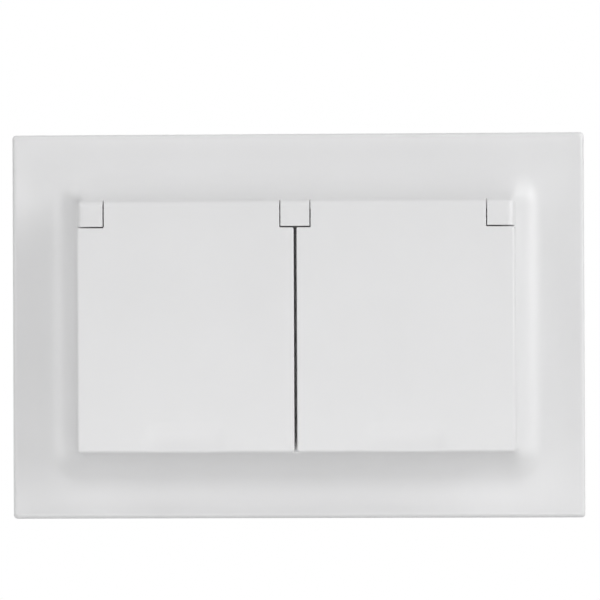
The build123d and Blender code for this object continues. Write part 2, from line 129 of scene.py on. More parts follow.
class SocketFrameSizes(bpy.types.PropertyGroup):
    """The coved cover frame."""
    rim_height: size_property("Rim height", "Height of the rim above the wall", 10.0)
    rim_round: size_property("Rim round", "Radius of the rim's outer edge", 1.0)
    corner_round: size_property("Corner round", "Radius of the frame's corners", 0.9)
    mitre_spread: share_property("Mitre spread", "Growth of a corner's radius away from the lids", 0.85)
    mitre_ease: share_property("Mitre ease", "Share of the cove over which a corner opens", 0.6)
    crest_round: size_property("Crest round", "Corner radius beside the lids", 1.3)
    land: size_property("Land", "Ledge between the lids and the cove", 0.3)
    skin: size_property("Skin", "Wall thickness", 2.2)
    seal_band: size_property("Seal band", "Width and depth of the face seal", 0.8)
    seal_corner: size_property("Seal corner", "Corner radius of the face seal", 1.5)
    window_inset: size_property("Window inset", "From the lid seal in to the window's side", 0.35)
    window_corner: size_property("Window corner", "Corner radius of the window", 0.8)
    inner_corner: size_property("Inner corner", "Corner radius inside the rim", 0.5)
    inner_room: size_property("Inner room", "Least ledge inside, beside the window", 0.3)
    foot_bevel: size_property("Foot bevel", "Bevel along the foot of the rim", 0.15)
    foot_seal: size_property("Foot seal", "Width of the wall seal", 3.0)
    dip: angle_property("Dip", "Slope at which the dish falls from the rim", 9)
    bend: angle_property("Bend", "Slope where the wide arc ends", 12)
    steep: angle_property("Steep", "Slope where the cove meets the lids", 70)


class SocketLidSizes(bpy.types.PropertyGroup):
    """The two sprung lids and their hinge."""
    wall: size_property("Wall", "Thickness of the front wall", 1.4)
    skirt: size_property("Skirt", "Thickness of the skirt", 1.5)
    top_round: size_property("Top round", "Radius along the top edge", 1.8)
    edge_round: size_property("Edge round", "Radius along the other edges", 0.8)
    seam_round: size_property("Seam round", "Radius along the seam between the lids", 0.25)
    cut_round: size_property("Cut round", "Radius along the edges at the posts", 0.18)
    scoop_width: size_property("Scoop width", "Width of the finger scoop", 17.0)
    scoop_height: size_property("Scoop height", "Height of the finger scoop", 6.5)
    scoop_depth: size_property("Scoop depth", "Depth of the finger scoop", 0.35)
    post_left: size_property("Left post", "Width of the left hinge post", 5.9)
    post_right: size_property("Right post", "Width of the right hinge post", 6.1)
    post_middle: size_property("Middle post", "Width of the shared hinge post", 6.35)
    post_drop: size_property("Post drop", "Reach of a post under the hinge axis", 2.65)
    post_gap: size_property("Post gap", "Gap between a post and a lid", 0.25)
    swing_clear: size_property("Swing clearance", "Room for a post's corner as a lid swings", 0.195)
    knuckle_radius: size_property("Knuckle radius", "Radius of a lid's hinge knuckle", 2.9)
    knuckle_length: size_property("Knuckle length", "Length of a lid's hinge knuckle", 4.0)
    bore_radius: size_property("Bore radius", "Radius of a knuckle's bore", 1.05)
    tail: size_property("Tail", "Reach of the top wall behind the axis", 2.2)
    lower_corner: size_property("Lower corner", "Radius of a lid's lower corners", 0.8)
    notch_corner: size_property("Notch corner", "Radius of the corners at the posts", 0.3)
    ear_corner: size_property("Ear corner", "Radius of the corners at the top", 0.15)
    notch_wall: size_property("Notch wall", "Thickness of the wall behind a post", 0.9)
    inner_round: size_property("Inner round", "Rounding between skirt and front", 0.5)
    lip_bevel: size_property("Lip bevel", "Bevel along the skirt's edge", 0.15)
    knuckle_flat: size_property("Knuckle flat", "Inset of a knuckle's square side", 0.4)
    knuckle_bevel: size_property("Knuckle bevel", "Bevel on a knuckle's ends", 0.12)
    rib_width: size_property("Rib width", "Width of the rib that holds the seal", 1.6)
    channel: size_property("Channel", "Depth of the seal below the rib", 1.1)
    seal_wall: size_property("Seal wall", "Thickness of the lid seal's walls", 0.6)
    seal_lip: size_property("Seal lip", "Width of the lid seal's sloping lip", 0.5)
    seal_rise: size_property("Seal rise", "Height of the lid seal's sloping lip", 0.35)
    seal_round: size_property("Seal round", "Radius of the lid seal's edges", 0.14)


class SocketSpringSizes(bpy.types.PropertyGroup):
    """Lid springs and shutter springs."""
    coil_radius: size_property("Coil radius", "Radius of a lid spring's coil", 1.37)
    wire: size_property("Wire", "Radius of a lid spring's wire", 0.25)
    pitch: size_property("Pitch", "Pitch of a lid spring's coil", 0.75)
    turns: IntProperty(name="Turns", description="Full turns of a lid spring", default=4, min=1)
    start: angle_property("Start", "Angle at which the coil starts", -53)
    rest: size_property("Rest", "Gap between a leg's tip and what it presses", 0.05)
    top_wall: size_property("Top wall", "Thickness of the lid's top wall", 1.2)
    leg_inset: size_property("Leg inset", "From the end of a lid's tail to the leg's tip", 0.3)
    lid_clear: size_property("Lid clearance", "Gap between the lids and the flange", 0.3)
    shutter_coil: size_property("Shutter coil", "Radius of a shutter spring's coil", 1.2)
    shutter_wire: size_property("Shutter wire", "Radius of a shutter spring's wire", 0.2)
    shutter_turns: IntProperty(name="Shutter turns", description="Turns of a shutter spring",
                               default=6, min=1)
    shutter_slack: size_property("Shutter slack", "Play of a shutter spring in its seat", 0.1)


class SocketScrewSizes(bpy.types.PropertyGroup):
    """Screws and rivets."""
    thread_pitch: size_property("Thread pitch", "Pitch of the screw threads", 0.7)
    thread_depth: size_property("Thread depth", "Depth of the screw threads", 0.22)
    arm_width: size_property("Arm width", "Width of a cross recess's arms", 0.72)
    arm_reach: share_property("Arm reach", "Reach of the arms as a share of the head", 0.62)
    slot_width: size_property("Slot width", "Width of a slotted head's slot", 0.8)
    recess_depth: size_property("Recess depth", "Depth of the driver recess", 0.9)
    recess_draft: size_property("Recess draft", "Width of the recess's sloping sides", 0.12)
    recess_end: size_property("Recess end", "Width of the slope at an arm's end", 0.15)
    crown: share_property("Crown", "Share of a head's height that its top curves down", 0.18)
    pan_height: size_property("Pan height", "Height of a face screw's head", 1.6)
    cover_shank: size_property("Cover shank", "Radius of a cover screw's shank", 1.25)
    cover_head: size_property("Cover head", "Radius of a cover screw's head", 2.2)
    cover_height: size_property("Cover height", "Height of a cover screw's head", 1.2)
    clamp_shank: size_property("Clamp shank", "Radius of a terminal screw's shank", 1.5)
    clamp_head: size_property("Clamp head", "Radius of a terminal screw's head", 2.1)
    clamp_height: size_property("Clamp height", "Height of a terminal screw's head", 1.8)
    rivet_shank: size_property("Rivet shank", "Radius of a rivet's shank", 1.25)
    rivet_head: size_property("Rivet head", "Radius of a rivet's head", 2.2)
    rivet_height: size_property("Rivet height", "Height of the earth rivet's head", 0.9)


class SocketFinishes(bpy.types.PropertyGroup):
    """Colours of the materials."""
    white: colour_property("White", "Gloss white plastic of the frame, face and lids", (0.80, 0.80, 0.805))
    grey: colour_property("Grey", "Plastic of the base and rear cover", (0.60, 0.60, 0.585))
    shutter: colour_property("Shutter", "Plastic of the shutters", (0.70, 0.70, 0.69))
    rubber: colour_property("Rubber", "Rubber and foam of the seals", (0.045, 0.045, 0.047))
    steel: colour_property("Steel", "Steel of pins, springs and screws", (0.56, 0.56, 0.57))
    zinc: colour_property("Zinc", "Zinc plating of the strap and clamps", (0.66, 0.67, 0.68))
    brass: colour_property("Brass", "Brass of the contact strips", (0.79, 0.60, 0.30))
    tin: colour_property("Tin", "Tinned brass of the earth clips", (0.74, 0.72, 0.66))


class SocketStudio(bpy.types.PropertyGroup):
    """Camera, floor and lamps."""
    distance: metre_property("Distance", "From the camera to the socket", 0.80)
    azimuth: angle_property("Azimuth", "Camera's angle to the right of the normal", 2.0)
    elevation: angle_property("Elevation", "Camera's angle above the normal", -0.3)
    roll: angle_property("Roll", "Camera's roll, clockwise", 0.25)
    lens: FloatProperty(name="Lens", description="Focal length on a 36 mm sensor, in mm", default=214.7)
    aim: FloatVectorProperty(name="Aim", description="Point at the middle of the picture",
                             default=(0.0005, -0.010, 0.0058), subtype="TRANSLATION", unit="LENGTH")
    floor_drop: metre_property("Floor drop", "From the socket's centre to the floor", 0.30)
    floor_half: metre_property("Floor half", "Half the floor's width", 0.7)
    fade_start: metre_property("Fade start", "Where the floor starts to fade into white", 0.1)
    fade_end: metre_property("Fade end", "Where the floor has faded most", 0.55)
    floor_shade: share_property("Floor shade", "Share of the shadow kept in the middle", 0.6)
    ambient: share_property("Ambient", "Strength of the even light", 0.02)
    high_right: watt_property("High right", 10.0)
    right: watt_property("Right", 9.6)
    left: watt_property("Left", 4.9)
    high_left: watt_property("High left", 5.0)
    above_right: watt_property("Above right", 1.5)
    above_left: watt_property("Above left", 2.1)
    low: watt_property("Low, close by", 1.5)


# Grids of points
def lattice(rows, columns, close_rows, close_columns):
    """Quads of a grid whose points are numbered row by row: each joins point (i, j)
    to its next neighbours, and the last row or column to the first where closed."""
    i = np.arange(rows if close_rows else rows - 1)[:, None]
    j = np.arange(columns if close_columns else columns - 1)[None, :]
    next_i = (i + 1) % rows * columns
    next_j = (j + 1) % columns
    i = i * columns
    return np.stack([i + j, i + next_j, next_i + next_j, next_i + j], -1).reshape(-1, 4)


class Shape:
    """Points in millimetres and faces of the closed surfaces that make up a piece."""

    def __init__(self):
        self.points = []
        self.faces = []
        self.count = 0

    def add(self, points, quads, tips):
        """Adds one closed surface. The sum of p0 . (p1 x p2) over its triangles is
        six times its volume, and where that is negative the faces are turned round."""
        triangles = np.concatenate([quads[:, [0, 1, 2]], quads[:, [0, 2, 3]], tips])
        a, b, c = (points[triangles[:, k]] for k in range(3))
        if np.einsum("ij,ij->i", a, np.cross(b, c)).sum() < 0:
            quads = quads[:, ::-1]
            tips = tips[:, ::-1]
        self.points.append(points)
        self.faces += (quads + self.count).tolist() + (tips + self.count).tolist()
        self.count += len(points)

    def ring(self, points):
        """A grid closed both ways, as a hoop is."""
        rows, columns, _ = points.shape
        self.add(points.reshape(-1, 3), lattice(rows, columns, True, True), np.zeros((0, 3), int))

    def bulb(self, points, start, end):
        """A grid of closed rows with a pole before the first and after the last."""
        rows, columns, _ = points.shape
        j = np.arange(columns)
        next_j = (j + 1) % columns
        first = np.full(columns, rows * columns)
        last = (rows - 1) * columns
        head = np.stack([first, next_j, j], -1)
        tail = np.stack([first + 1, last + j, last + next_j], -1)
        points = np.concatenate([points.reshape(-1, 3), [start], [end]])
        self.add(points, lattice(rows, columns, False, True), np.concatenate([head, tail]))


def stand(points):
    """From the drawing, in mm, to the socket standing on its wall, in metres."""
    x, y, h = np.concatenate(points).T
    return np.stack([x, -h, y], -1) * MM


def finish_piece(name, mesh, material, sharp):
    """Smooths the faces up to the sharp angle, dresses the mesh and links it."""
    mesh.validate()
    mesh.materials.clear()
    mesh.materials.append(material)
    mesh.shade_smooth()
    mesh.set_sharp_from_angle(angle=math.radians(sharp))
    piece = bpy.data.objects.new(name, mesh)
    bpy.context.scene.collection.objects.link(piece)
    return piece


def fix(piece, body, node):
    """Puts a piece on its body, in the place of its node."""
    if body:
        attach(piece, body)
    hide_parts(node)
    return piece


def make_piece(name, node, body, slot, surfaces, sharp=38):
    """A piece made of closed surfaces. Each is a grid closed both ways, or a grid of
    closed rows with its first and last pole."""
    shape = Shape()
    for surface in surfaces:
        if isinstance(surface, np.ndarray):
            shape.ring(surface)
        else:
            shape.bulb(*surface)
    mesh = bpy.data.meshes.new(name)
    mesh.from_pydata(stand(shape.points).tolist(), [], shape.faces)
    return fix(finish_piece(name, mesh, finish_material(slot), sharp), body, node)


def copy_piece(name, node, body, slot, sharp=32):
    """A piece with its node's own shape: its loose triangles share their corners, and
    triangles left with no area are dropped."""
    source = frame["nodes"][node].data
    corners = np.zeros(len(source.vertices) * 3)
    source.vertices.foreach_get("co", corners)
    triangles = np.zeros(len(source.loops), int)
    source.loops.foreach_get("vertex_index", triangles)
    places, owner = np.unique(np.round(corners.reshape(-1, 3), 7), axis=0, return_inverse=True)
    triangles = owner.reshape(-1)[triangles.reshape(-1, 3)]
    a, b, c = triangles.T
    triangles = triangles[(a != b) & (b != c) & (c != a)]
    mesh = bpy.data.meshes.new(name)
    mesh.from_pydata(places.tolist(), [], triangles.tolist())
    return fix(finish_piece(name, mesh, finish_material(slot), sharp), body, node)


# Profiles and paths
def rounded_box_rows(half_x, half_y, corner, height, steps=8, support=0.5):
    """Rows of points round rectangles with rounded corners, one row for each entry.
    A corner is centre + radius (cos a, sin a) over a quarter turn, and one more
    point on each side of it keeps the long sides flat."""
    rows = (half_x, half_y, corner, height)
    half_x, half_y, corner, height = (np.asarray(row, float)[:, None] for row in rows)
    turns = []
    for quarter in range(4):
        sign_x = 1 if quarter in (0, 3) else -1
        sign_y = 1 if quarter in (0, 1) else -1
        angle = (quarter + np.linspace(0, 1, steps + 1)) * math.pi / 2
        x = sign_x * (half_x - corner) + corner * np.cos(angle)
        y = sign_y * (half_y - corner) + corner * np.sin(angle)
        before = np.array([math.sin(quarter * math.pi / 2), -math.cos(quarter * math.pi / 2)]) * support
        after = np.array([-math.cos(quarter * math.pi / 2), -math.sin(quarter * math.pi / 2)]) * support
        x = np.concatenate([x[:, :1] + before[0], x, x[:, -1:] + after[0]], 1)
        y = np.concatenate([y[:, :1] + before[1], y, y[:, -1:] + after[1]], 1)
        turns.append(np.stack([x, y, np.broadcast_to(height, x.shape)], -1))
    return np.concatenate(turns, 1)


def lathe(profile, centre, columns=96):
    """A profile of (radius, height) turned about the axis that points out of the
    wall: x = cx + r cos a, y = cy + r sin a, h = height."""
    radius, height = np.asarray(profile, float).T
    angle = np.linspace(0, 2 * math.pi, columns, endpoint=False)
    x = centre[0] + radius[:, None] * np.cos(angle)
    y = centre[1] + radius[:, None] * np.sin(angle)
    return np.stack([x, y, np.broadcast_to(height[:, None], x.shape)], -1)


def soften(corners, radius, steps=4):
    """A closed profile with each corner cut back by the radius and rounded by a
    quadratic curve: (1-t)^2 before + 2t(1-t) corner + t^2 after."""
    corners = np.asarray(corners, float)
    back = np.roll(corners, 1, 0) - corners
    ahead = np.roll(corners, -1, 0) - corners
    before = corners + back * (radius / np.linalg.norm(back, axis=1))[:, None]
    after = corners + ahead * (radius / np.linalg.norm(ahead, axis=1))[:, None]
    t = np.linspace(0, 1, steps + 1)[None, :, None]
    curve = (1 - t) ** 2 * before[:, None] + 2 * t * (1 - t) * corners[:, None] + t ** 2 * after[:, None]
    return curve.reshape(-1, 2)


def tube(path, radial, radius, columns=12):
    """A round wire: each point of the path carries a circle in the plane of its
    radial direction N and of T x N, where T is the path's direction. The ends are
    closed by half a dome."""
    forward = np.gradient(path, axis=0)
    forward /= np.linalg.norm(forward, axis=1)[:, None]
    across = np.cross(forward, radial)
    across /= np.linalg.norm(across, axis=1)[:, None]
    normal = np.cross(across, forward)
    bow = np.linspace(0.15, 1, 4) * math.pi / 2
    path = np.concatenate([path[:1] - forward[:1] * (radius * np.cos(bow))[:, None], path[1:-1],
                           path[-1:] + forward[-1:] * (radius * np.cos(bow[::-1]))[:, None]])
    scale = np.concatenate([np.sin(bow), np.ones(len(normal) - 2), np.sin(bow[::-1])]) * radius
    ends = [np.repeat(v[:1], 4, 0) for v in (normal, across)]
    tails = [np.repeat(v[-1:], 4, 0) for v in (normal, across)]
    normal = np.concatenate([ends[0], normal[1:-1], tails[0]])
    across = np.concatenate([ends[1], across[1:-1], tails[1]])
    angle = np.linspace(0, 2 * math.pi, columns, endpoint=False)[None, :, None]
    circle = normal[:, None] * np.cos(angle) + across[:, None] * np.sin(angle)
    points = path[:, None] + circle * scale[:, None, None]
    return points, path[0] - forward[0] * radius * 0.03, path[-1] + forward[-1] * radius * 0.03


# Shader maths
class Signal:
    """An output of a shader node. Arithmetic on signals and numbers adds the Math
    nodes that work it out."""

    def __init__(self, graph, socket):
        self.graph = graph
        self.socket = socket

    def other(self, output):
        """Another output of the same node."""
        return Signal(self.graph, self.socket.node.outputs[output])

    def maths(self, operation, *values):
        """The result of a Math node on the values."""
        return self.graph.node("ShaderNodeMath", {"operation": operation}, dict(enumerate(values)))

    def __add__(self, value):
        return self.maths("ADD", self, value)

    def __rsub__(self, value):
        return self.maths("SUBTRACT", value, self)

    def __mul__(self, value):
        return self.maths("MULTIPLY", self, value)

    def __gt__(self, value):
        return self.maths("GREATER_THAN", self, value)

    def __lt__(self, value):
        return self.maths("LESS_THAN", self, value)

    __radd__ = __add__
    __rmul__ = __mul__


class Graph:
    """The node tree of a material or of the world."""

    def __init__(self, tree):
        self.tree = tree
        tree.nodes.clear()

    def node(self, kind, settings, inputs, output=0):
        """Adds a node. Its settings come first, then the values or links of its sockets."""
        made = self.tree.nodes.new(kind)
        for key, value in settings.items():
            if key == "stops":
                for stop, (place, grey) in zip(made.color_ramp.elements, value):
                    stop.position = place
                    stop.color = (grey, grey, grey, 1)
            else:
                setattr(made, key, value)
        for key, value in inputs.items():
            if isinstance(value, Signal):
                self.tree.links.new(value.socket, made.inputs[key])
            else:
                made.inputs[key].default_value = value
        return Signal(self, made.outputs[output]) if made.outputs else None

    def place(self, stretch=(1, 1, 1)):
        """Object coordinates, stretched along the axes."""
        spot = self.node("ShaderNodeTexCoord", {}, {}, "Object")
        return self.node("ShaderNodeMapping", {}, {"Vector": spot, "Scale": stretch})

    def noise(self, scale, detail=2.0, stretch=(1, 1, 1)):
        """Soft noise from 0 to 1; the scale is in features a metre."""
        return self.node("ShaderNodeTexNoise", {}, {"Vector": self.place(stretch), "Scale": scale,
                                                    "Detail": detail, "Roughness": 0.55})

    def cells(self, scale, stretch=(1, 1, 1)):
        """Distance to the nearest of scattered points; its Color differs from cell to cell."""
        return self.node("ShaderNodeTexVoronoi", {}, {"Vector": self.place(stretch), "Scale": scale})

    def contrast(self, value, low, high):
        """Spreads the values between low and high over 0 to 1."""
        return self.node("ShaderNodeValToRGB", {"stops": ((low, 0), (high, 1))}, {"Fac": value})

    def blend(self, factor, first, second):
        """From the first colour to the second."""
        return self.node("ShaderNodeMix", {"data_type": "RGBA"}, {0: factor, 6: first, 7: second}, 2)

    def bump(self, height, depth, strength=1.0):
        """A normal from a height that swings through the depth, in mm."""
        inputs = {"Height": height, "Distance": depth * MM, "Strength": strength}
        return self.node("ShaderNodeBump", {}, inputs)

    def surface(self, inputs):
        """The shader and the material's output."""
        shader = self.node("ShaderNodeBsdfPrincipled", {}, inputs)
        self.node("ShaderNodeOutputMaterial", {}, {"Surface": shader})


def colour(values, factor=1.0):
    """A colour socket's value, lighter or darker by a factor."""
    return tuple(min(v * factor, 1.0) for v in values) + (1.0,)


def new_graph(name):
    """A material and its empty tree."""
    material = bpy.data.materials.new(name)
    material.use_nodes = True
    return material, Graph(material.node_tree)


def gloss_white(base):
    """Moulded white plastic: a smooth gloss skin with faint waves from the mould, a
    slight unevenness of tone and shine, and a few specks of dust."""
    material, graph = new_graph("gloss_white_plastic")
    tone = graph.contrast(graph.noise(38, 3), 0.3, 0.7)
    dust = graph.cells(150)
    chosen = graph.node("ShaderNodeSeparateColor", {}, {"Color": dust.other("Color")})
    speck = (dust < chosen.other("Green") * 0.022) * (chosen > 0.78)
    tinted = graph.blend(tone, colour(base, 0.985), colour(base, 1.01))
    waves = graph.noise(160, 2) * 0.9 + graph.noise(2600, 1) * 0.1
    graph.surface({
        "Base Color": graph.blend(speck * 0.35, tinted, (0.30, 0.29, 0.27, 1)),
        "Roughness": graph.noise(70, 3) * 0.08 + 0.27 + speck * 0.3,
        "Normal": graph.bump(waves, 0.012),
        "IOR": 1.5,
    })
    return material


def grained_plastic(name, base, grain, depth):
    """Spark-eroded plastic: a fine even grain, mottled a little, with duller hollows."""
    material, graph = new_graph(name)
    fine = graph.noise(grain, 3)
    mottle = graph.contrast(graph.noise(55, 4), 0.3, 0.7)
    shade = graph.blend(fine, colour(base, 0.93), colour(base, 1.04))
    graph.surface({
        "Base Color": graph.blend(mottle * 0.35, shade, colour(base, 0.9)),
        "Roughness": graph.contrast(fine, 0.35, 0.65) * 0.12 + 0.46,
        "Normal": graph.bump(fine, depth),
        "IOR": 1.5,
    })
    return material


def seal_rubber(base):
    """Soft moulded rubber: dusty matt skin with small pores and grey bloom."""
    material, graph = new_graph("seal_rubber")
    bloom = graph.contrast(graph.noise(120, 4), 0.45, 0.75)
    pores = graph.contrast(graph.cells(1900), 0.0, 0.45)
    graph.surface({
        "Base Color": graph.blend(bloom * 0.5, colour(base), colour(base, 2.2)),
        "Roughness": bloom * 0.12 + 0.72,
        "Normal": graph.bump(pores, 0.05, 0.7),
        "Specular IOR Level": 0.35,
    })
    return material


def drawn_steel(base):
    """Bright steel with fine drawing lines and dull patches of oil."""
    material, graph = new_graph("drawn_steel")
    lines = graph.noise(1500, 2, (0.25, 1, 1))
    oil = graph.contrast(graph.noise(260, 3), 0.4, 0.7)
    graph.surface({
        "Base Color": graph.blend(oil * 0.4, colour(base), colour(base, 0.8)),
        "Metallic": 1.0,
        "Roughness": oil * 0.14 + lines * 0.1 + 0.2,
        "Normal": graph.bump(lines, 0.006),
    })
    return material


def zinc_plate(base):
    """Zinc-plated sheet: rolled lines, soft spangles and a faint blue and straw tint."""
    material, graph = new_graph("zinc_plate")
    spangle = graph.node("ShaderNodeSeparateColor", {}, {"Color": graph.cells(230).other("Color")})
    rolled = graph.noise(700, 3, (0.06, 1, 1))
    tint = graph.contrast(graph.noise(45, 3), 0.35, 0.65)
    straw = tuple(v * f for v, f in zip(base, (1.03, 1.0, 0.9))) + (1.0,)
    blue = tuple(v * f for v, f in zip(base, (0.93, 0.97, 1.03))) + (1.0,)
    graph.surface({
        "Base Color": graph.blend(tint, blue, straw),
        "Metallic": 1.0,
        "Roughness": spangle * 0.1 + rolled * 0.12 + 0.24,
        "Normal": graph.bump(rolled, 0.012),
    })
    return material


def rolled_brass(name, base, stain):
    """Stamped strip: rolling lines along it, a soft stain, duller where handled."""
    material, graph = new_graph(name)
    rolled = graph.noise(900, 3, (0.1, 1, 1))
    patch = graph.contrast(graph.noise(90, 4), 0.42, 0.72)
    graph.surface({
        "Base Color": graph.blend(patch * 0.6, colour(base), stain),
        "Metallic": 1.0,
        "Roughness": patch * 0.16 + rolled * 0.1 + 0.22,
        "Normal": graph.bump(rolled, 0.008),
    })
    return material


def finish_material(slot):
    """The material of a slot, made once."""
    finishes = bpy.context.scene.socket_finishes
    makers = {
        "white_gloss": ("gloss_white_plastic", lambda: gloss_white(finishes.white)),
        "grey_plastic": ("grained_grey_plastic",
                         lambda: grained_plastic("grained_grey_plastic", finishes.grey, 1300, 0.05)),
        "shutter_plastic": ("shutter_plastic",
                            lambda: grained_plastic("shutter_plastic", finishes.shutter, 2200, 0.02)),
        "seal_rubber": ("seal_rubber", lambda: seal_rubber(finishes.rubber)),
        "steel": ("drawn_steel", lambda: drawn_steel(finishes.steel)),
        "plated_steel": ("zinc_plate", lambda: zinc_plate(finishes.zinc)),
        "brass": ("rolled_brass",
                  lambda: rolled_brass("rolled_brass", finishes.brass, (0.48, 0.30, 0.13, 1))),
        "tinned_brass": ("tinned_brass",
                         lambda: rolled_brass("tinned_brass", finishes.tin, (0.60, 0.52, 0.38, 1))),
    }
    name, make = makers[slot]
    return bpy.data.materials.get(name) or make()


# Pieces
class SocketOperator(bpy.types.Operator):
    """Shared by the operators that make pieces."""
    bl_options = {"REGISTER", "UNDO"}


class SOCKET_OT_cover_frame(SocketOperator):
    """Make the coved cover frame, its face seal and its wall seal"""
    bl_idname = "socket.cover_frame"
    bl_label = "Cover frame"
    face_bulge, wall_bulge = 0.02, 0.12

    def cove(self, sizes, slope, run, rise):
        """Distance from the rim and height at each slope of a cove, and the radius W
        of its wide arc. The wide arc falls from the rim at the slope -d and rises
        again to the bend b, where a tight one of radius T takes over up to s:
        run = W (sin b + sin d) + T (sin s - sin b) and
        rise = W (cos d - cos b) + T (cos b - cos s)."""
        d, b, s = sizes.dip, sizes.bend, sizes.steep
        sums = np.array([[math.sin(b) + math.sin(d), math.sin(s) - math.sin(b)],
                         [math.cos(d) - math.cos(b), math.cos(b) - math.cos(s)]])
        wide, tight = np.linalg.solve(sums, [run, rise])
        low, high = np.minimum(slope, b), np.maximum(slope, b)
        reach = wide * (np.sin(low) + math.sin(d)) + tight * (np.sin(high) - math.sin(b))
        height = wide * (math.cos(d) - np.cos(low)) + tight * (math.cos(b) - np.cos(high))
        return reach, height, wide

    def shell(self, sizes):
        """Rings at shared slopes, so that each mitre is where two coves are equally
        steep: up the side, round the rim on an arc that touches the side and the
        dish, over the cove to the crest, round the seal's groove and back down
        inside, one skin lower along the surface's normal. A corner's radius eases by
        t t (3 - 2 t) from the rim's to the crest's plus a share of the way still to go."""
        width, depth, top = PLATE_HIGH
        crest = FACE_HIGH[:2] + sizes.land
        rim, r, skin = sizes.rim_height, sizes.rim_round, sizes.skin
        slope = np.r_[np.linspace(-sizes.dip, sizes.bend, 20), np.linspace(sizes.bend, sizes.steep, 26)[1:]]
        reach_x, height_x, wide = self.cove(sizes, slope, width - crest[0], top - rim)
        reach_y, height_y, _ = self.cove(sizes, slope, depth - crest[1], top - rim)
        height = (height_x + height_y) / 2
        touch = math.asin((r - wide * math.sin(sizes.dip)) / (wide + r))
        turn = np.linspace(0, math.pi / 2 - touch, 8)
        edge = r * (1 - np.cos(turn))
        edge_height = rim + wide * math.cos(sizes.dip) - (wide + r) * math.cos(touch) + r * np.sin(turn)
        kept = reach_x > edge[-1] + FINEST
        swept = sizes.crest_round + sizes.mitre_spread * (width - crest[0] - reach_x)
        ease = np.clip(reach_x / (width - crest[0]) / sizes.mitre_ease, 0, 1)
        corner = sizes.corner_round + (swept - sizes.corner_round) * ease ** 2 * (3 - 2 * ease)
        bevel = sizes.foot_bevel
        outside = [np.r_[0, bevel, rim / 2, edge_height, rim + height[kept]],
                   width - np.r_[bevel, 0, 0, edge, reach_x[kept]],
                   depth - np.r_[bevel, 0, 0, edge, reach_y[kept]],
                   np.r_[np.full(3 + len(turn), sizes.corner_round), corner[kept]]]
        outer_x, outer_y = SEAL_HIGH[:2]
        window = RING_HIGH[0] - sizes.window_inset, FACE_HIGH[1] - skin
        band, groove, hole = sizes.seal_band, sizes.seal_corner, sizes.window_corner
        ledge = np.array([[top, outer_x, outer_y, groove], [top - band, outer_x, outer_y, groove],
                          [top - band, outer_x - band, outer_y - band, hole],
                          [top, outer_x - band, outer_y - band, hole],
                          [top, *window, hole], [top - skin, *window, hole]]).T
        inner_x = width - reach_x - skin * np.sin(slope)
        inner_y = depth - reach_y - skin * np.sin(slope)
        under = (inner_x < width - skin) & (inner_x > window[0] + sizes.inner_room)
        under &= inner_y > window[1] + sizes.inner_room
        inner_h = rim + height - skin * np.cos(slope)
        inside = [np.r_[inner_h[under][::-1], rim - skin, 0],
                  np.r_[inner_x[under][::-1], width - skin, width - skin],
                  np.r_[inner_y[under][::-1], depth - skin, depth - skin],
                  np.r_[corner[under][::-1], sizes.inner_corner, sizes.inner_corner]]
        heights, half_x, half_y, corners = (np.concatenate(parts) for parts in zip(outside, ledge, inside))
        return rounded_box_rows(half_x, half_y, corners, heights)

    def band(self, node, width, corner, bulge):
        """A flat seal: a rounded rectangular hoop whose sides swell by bulge sin(pi t)."""
        low, high = extent(node)
        t = np.linspace(0, 1, 6)
        swell = bulge * (1 - np.sin(t * math.pi))
        height = low[2] + (high[2] - low[2]) * t
        out_x, out_y = high[0] - swell, high[1] - swell
        in_x, in_y = high[0] - width + swell[::-1], high[1] - width + swell[::-1]
        radius = np.repeat([corner, max(corner - width, FINEST)], len(t))
        return rounded_box_rows(np.r_[out_x, in_x], np.r_[out_y, in_y], radius, np.r_[height, height[::-1]])

    def execute(self, context):
        sizes = context.scene.socket_frame
        body = "socket_body"
        make_piece("coved_frame_shell", "cover_frame", body, "white_gloss", [self.shell(sizes)])
        face_seal = self.band("face_gasket", sizes.seal_band, sizes.seal_corner, self.face_bulge)
        wall_seal = self.band("wall_gasket", sizes.foot_seal, sizes.inner_corner, self.wall_bulge)
        make_piece("face_seal", "face_gasket", body, "seal_rubber", [face_seal], 60)
        make_piece("wall_seal", "wall_gasket", body, "seal_rubber", [wall_seal], 60)
        return {"FINISHED"}


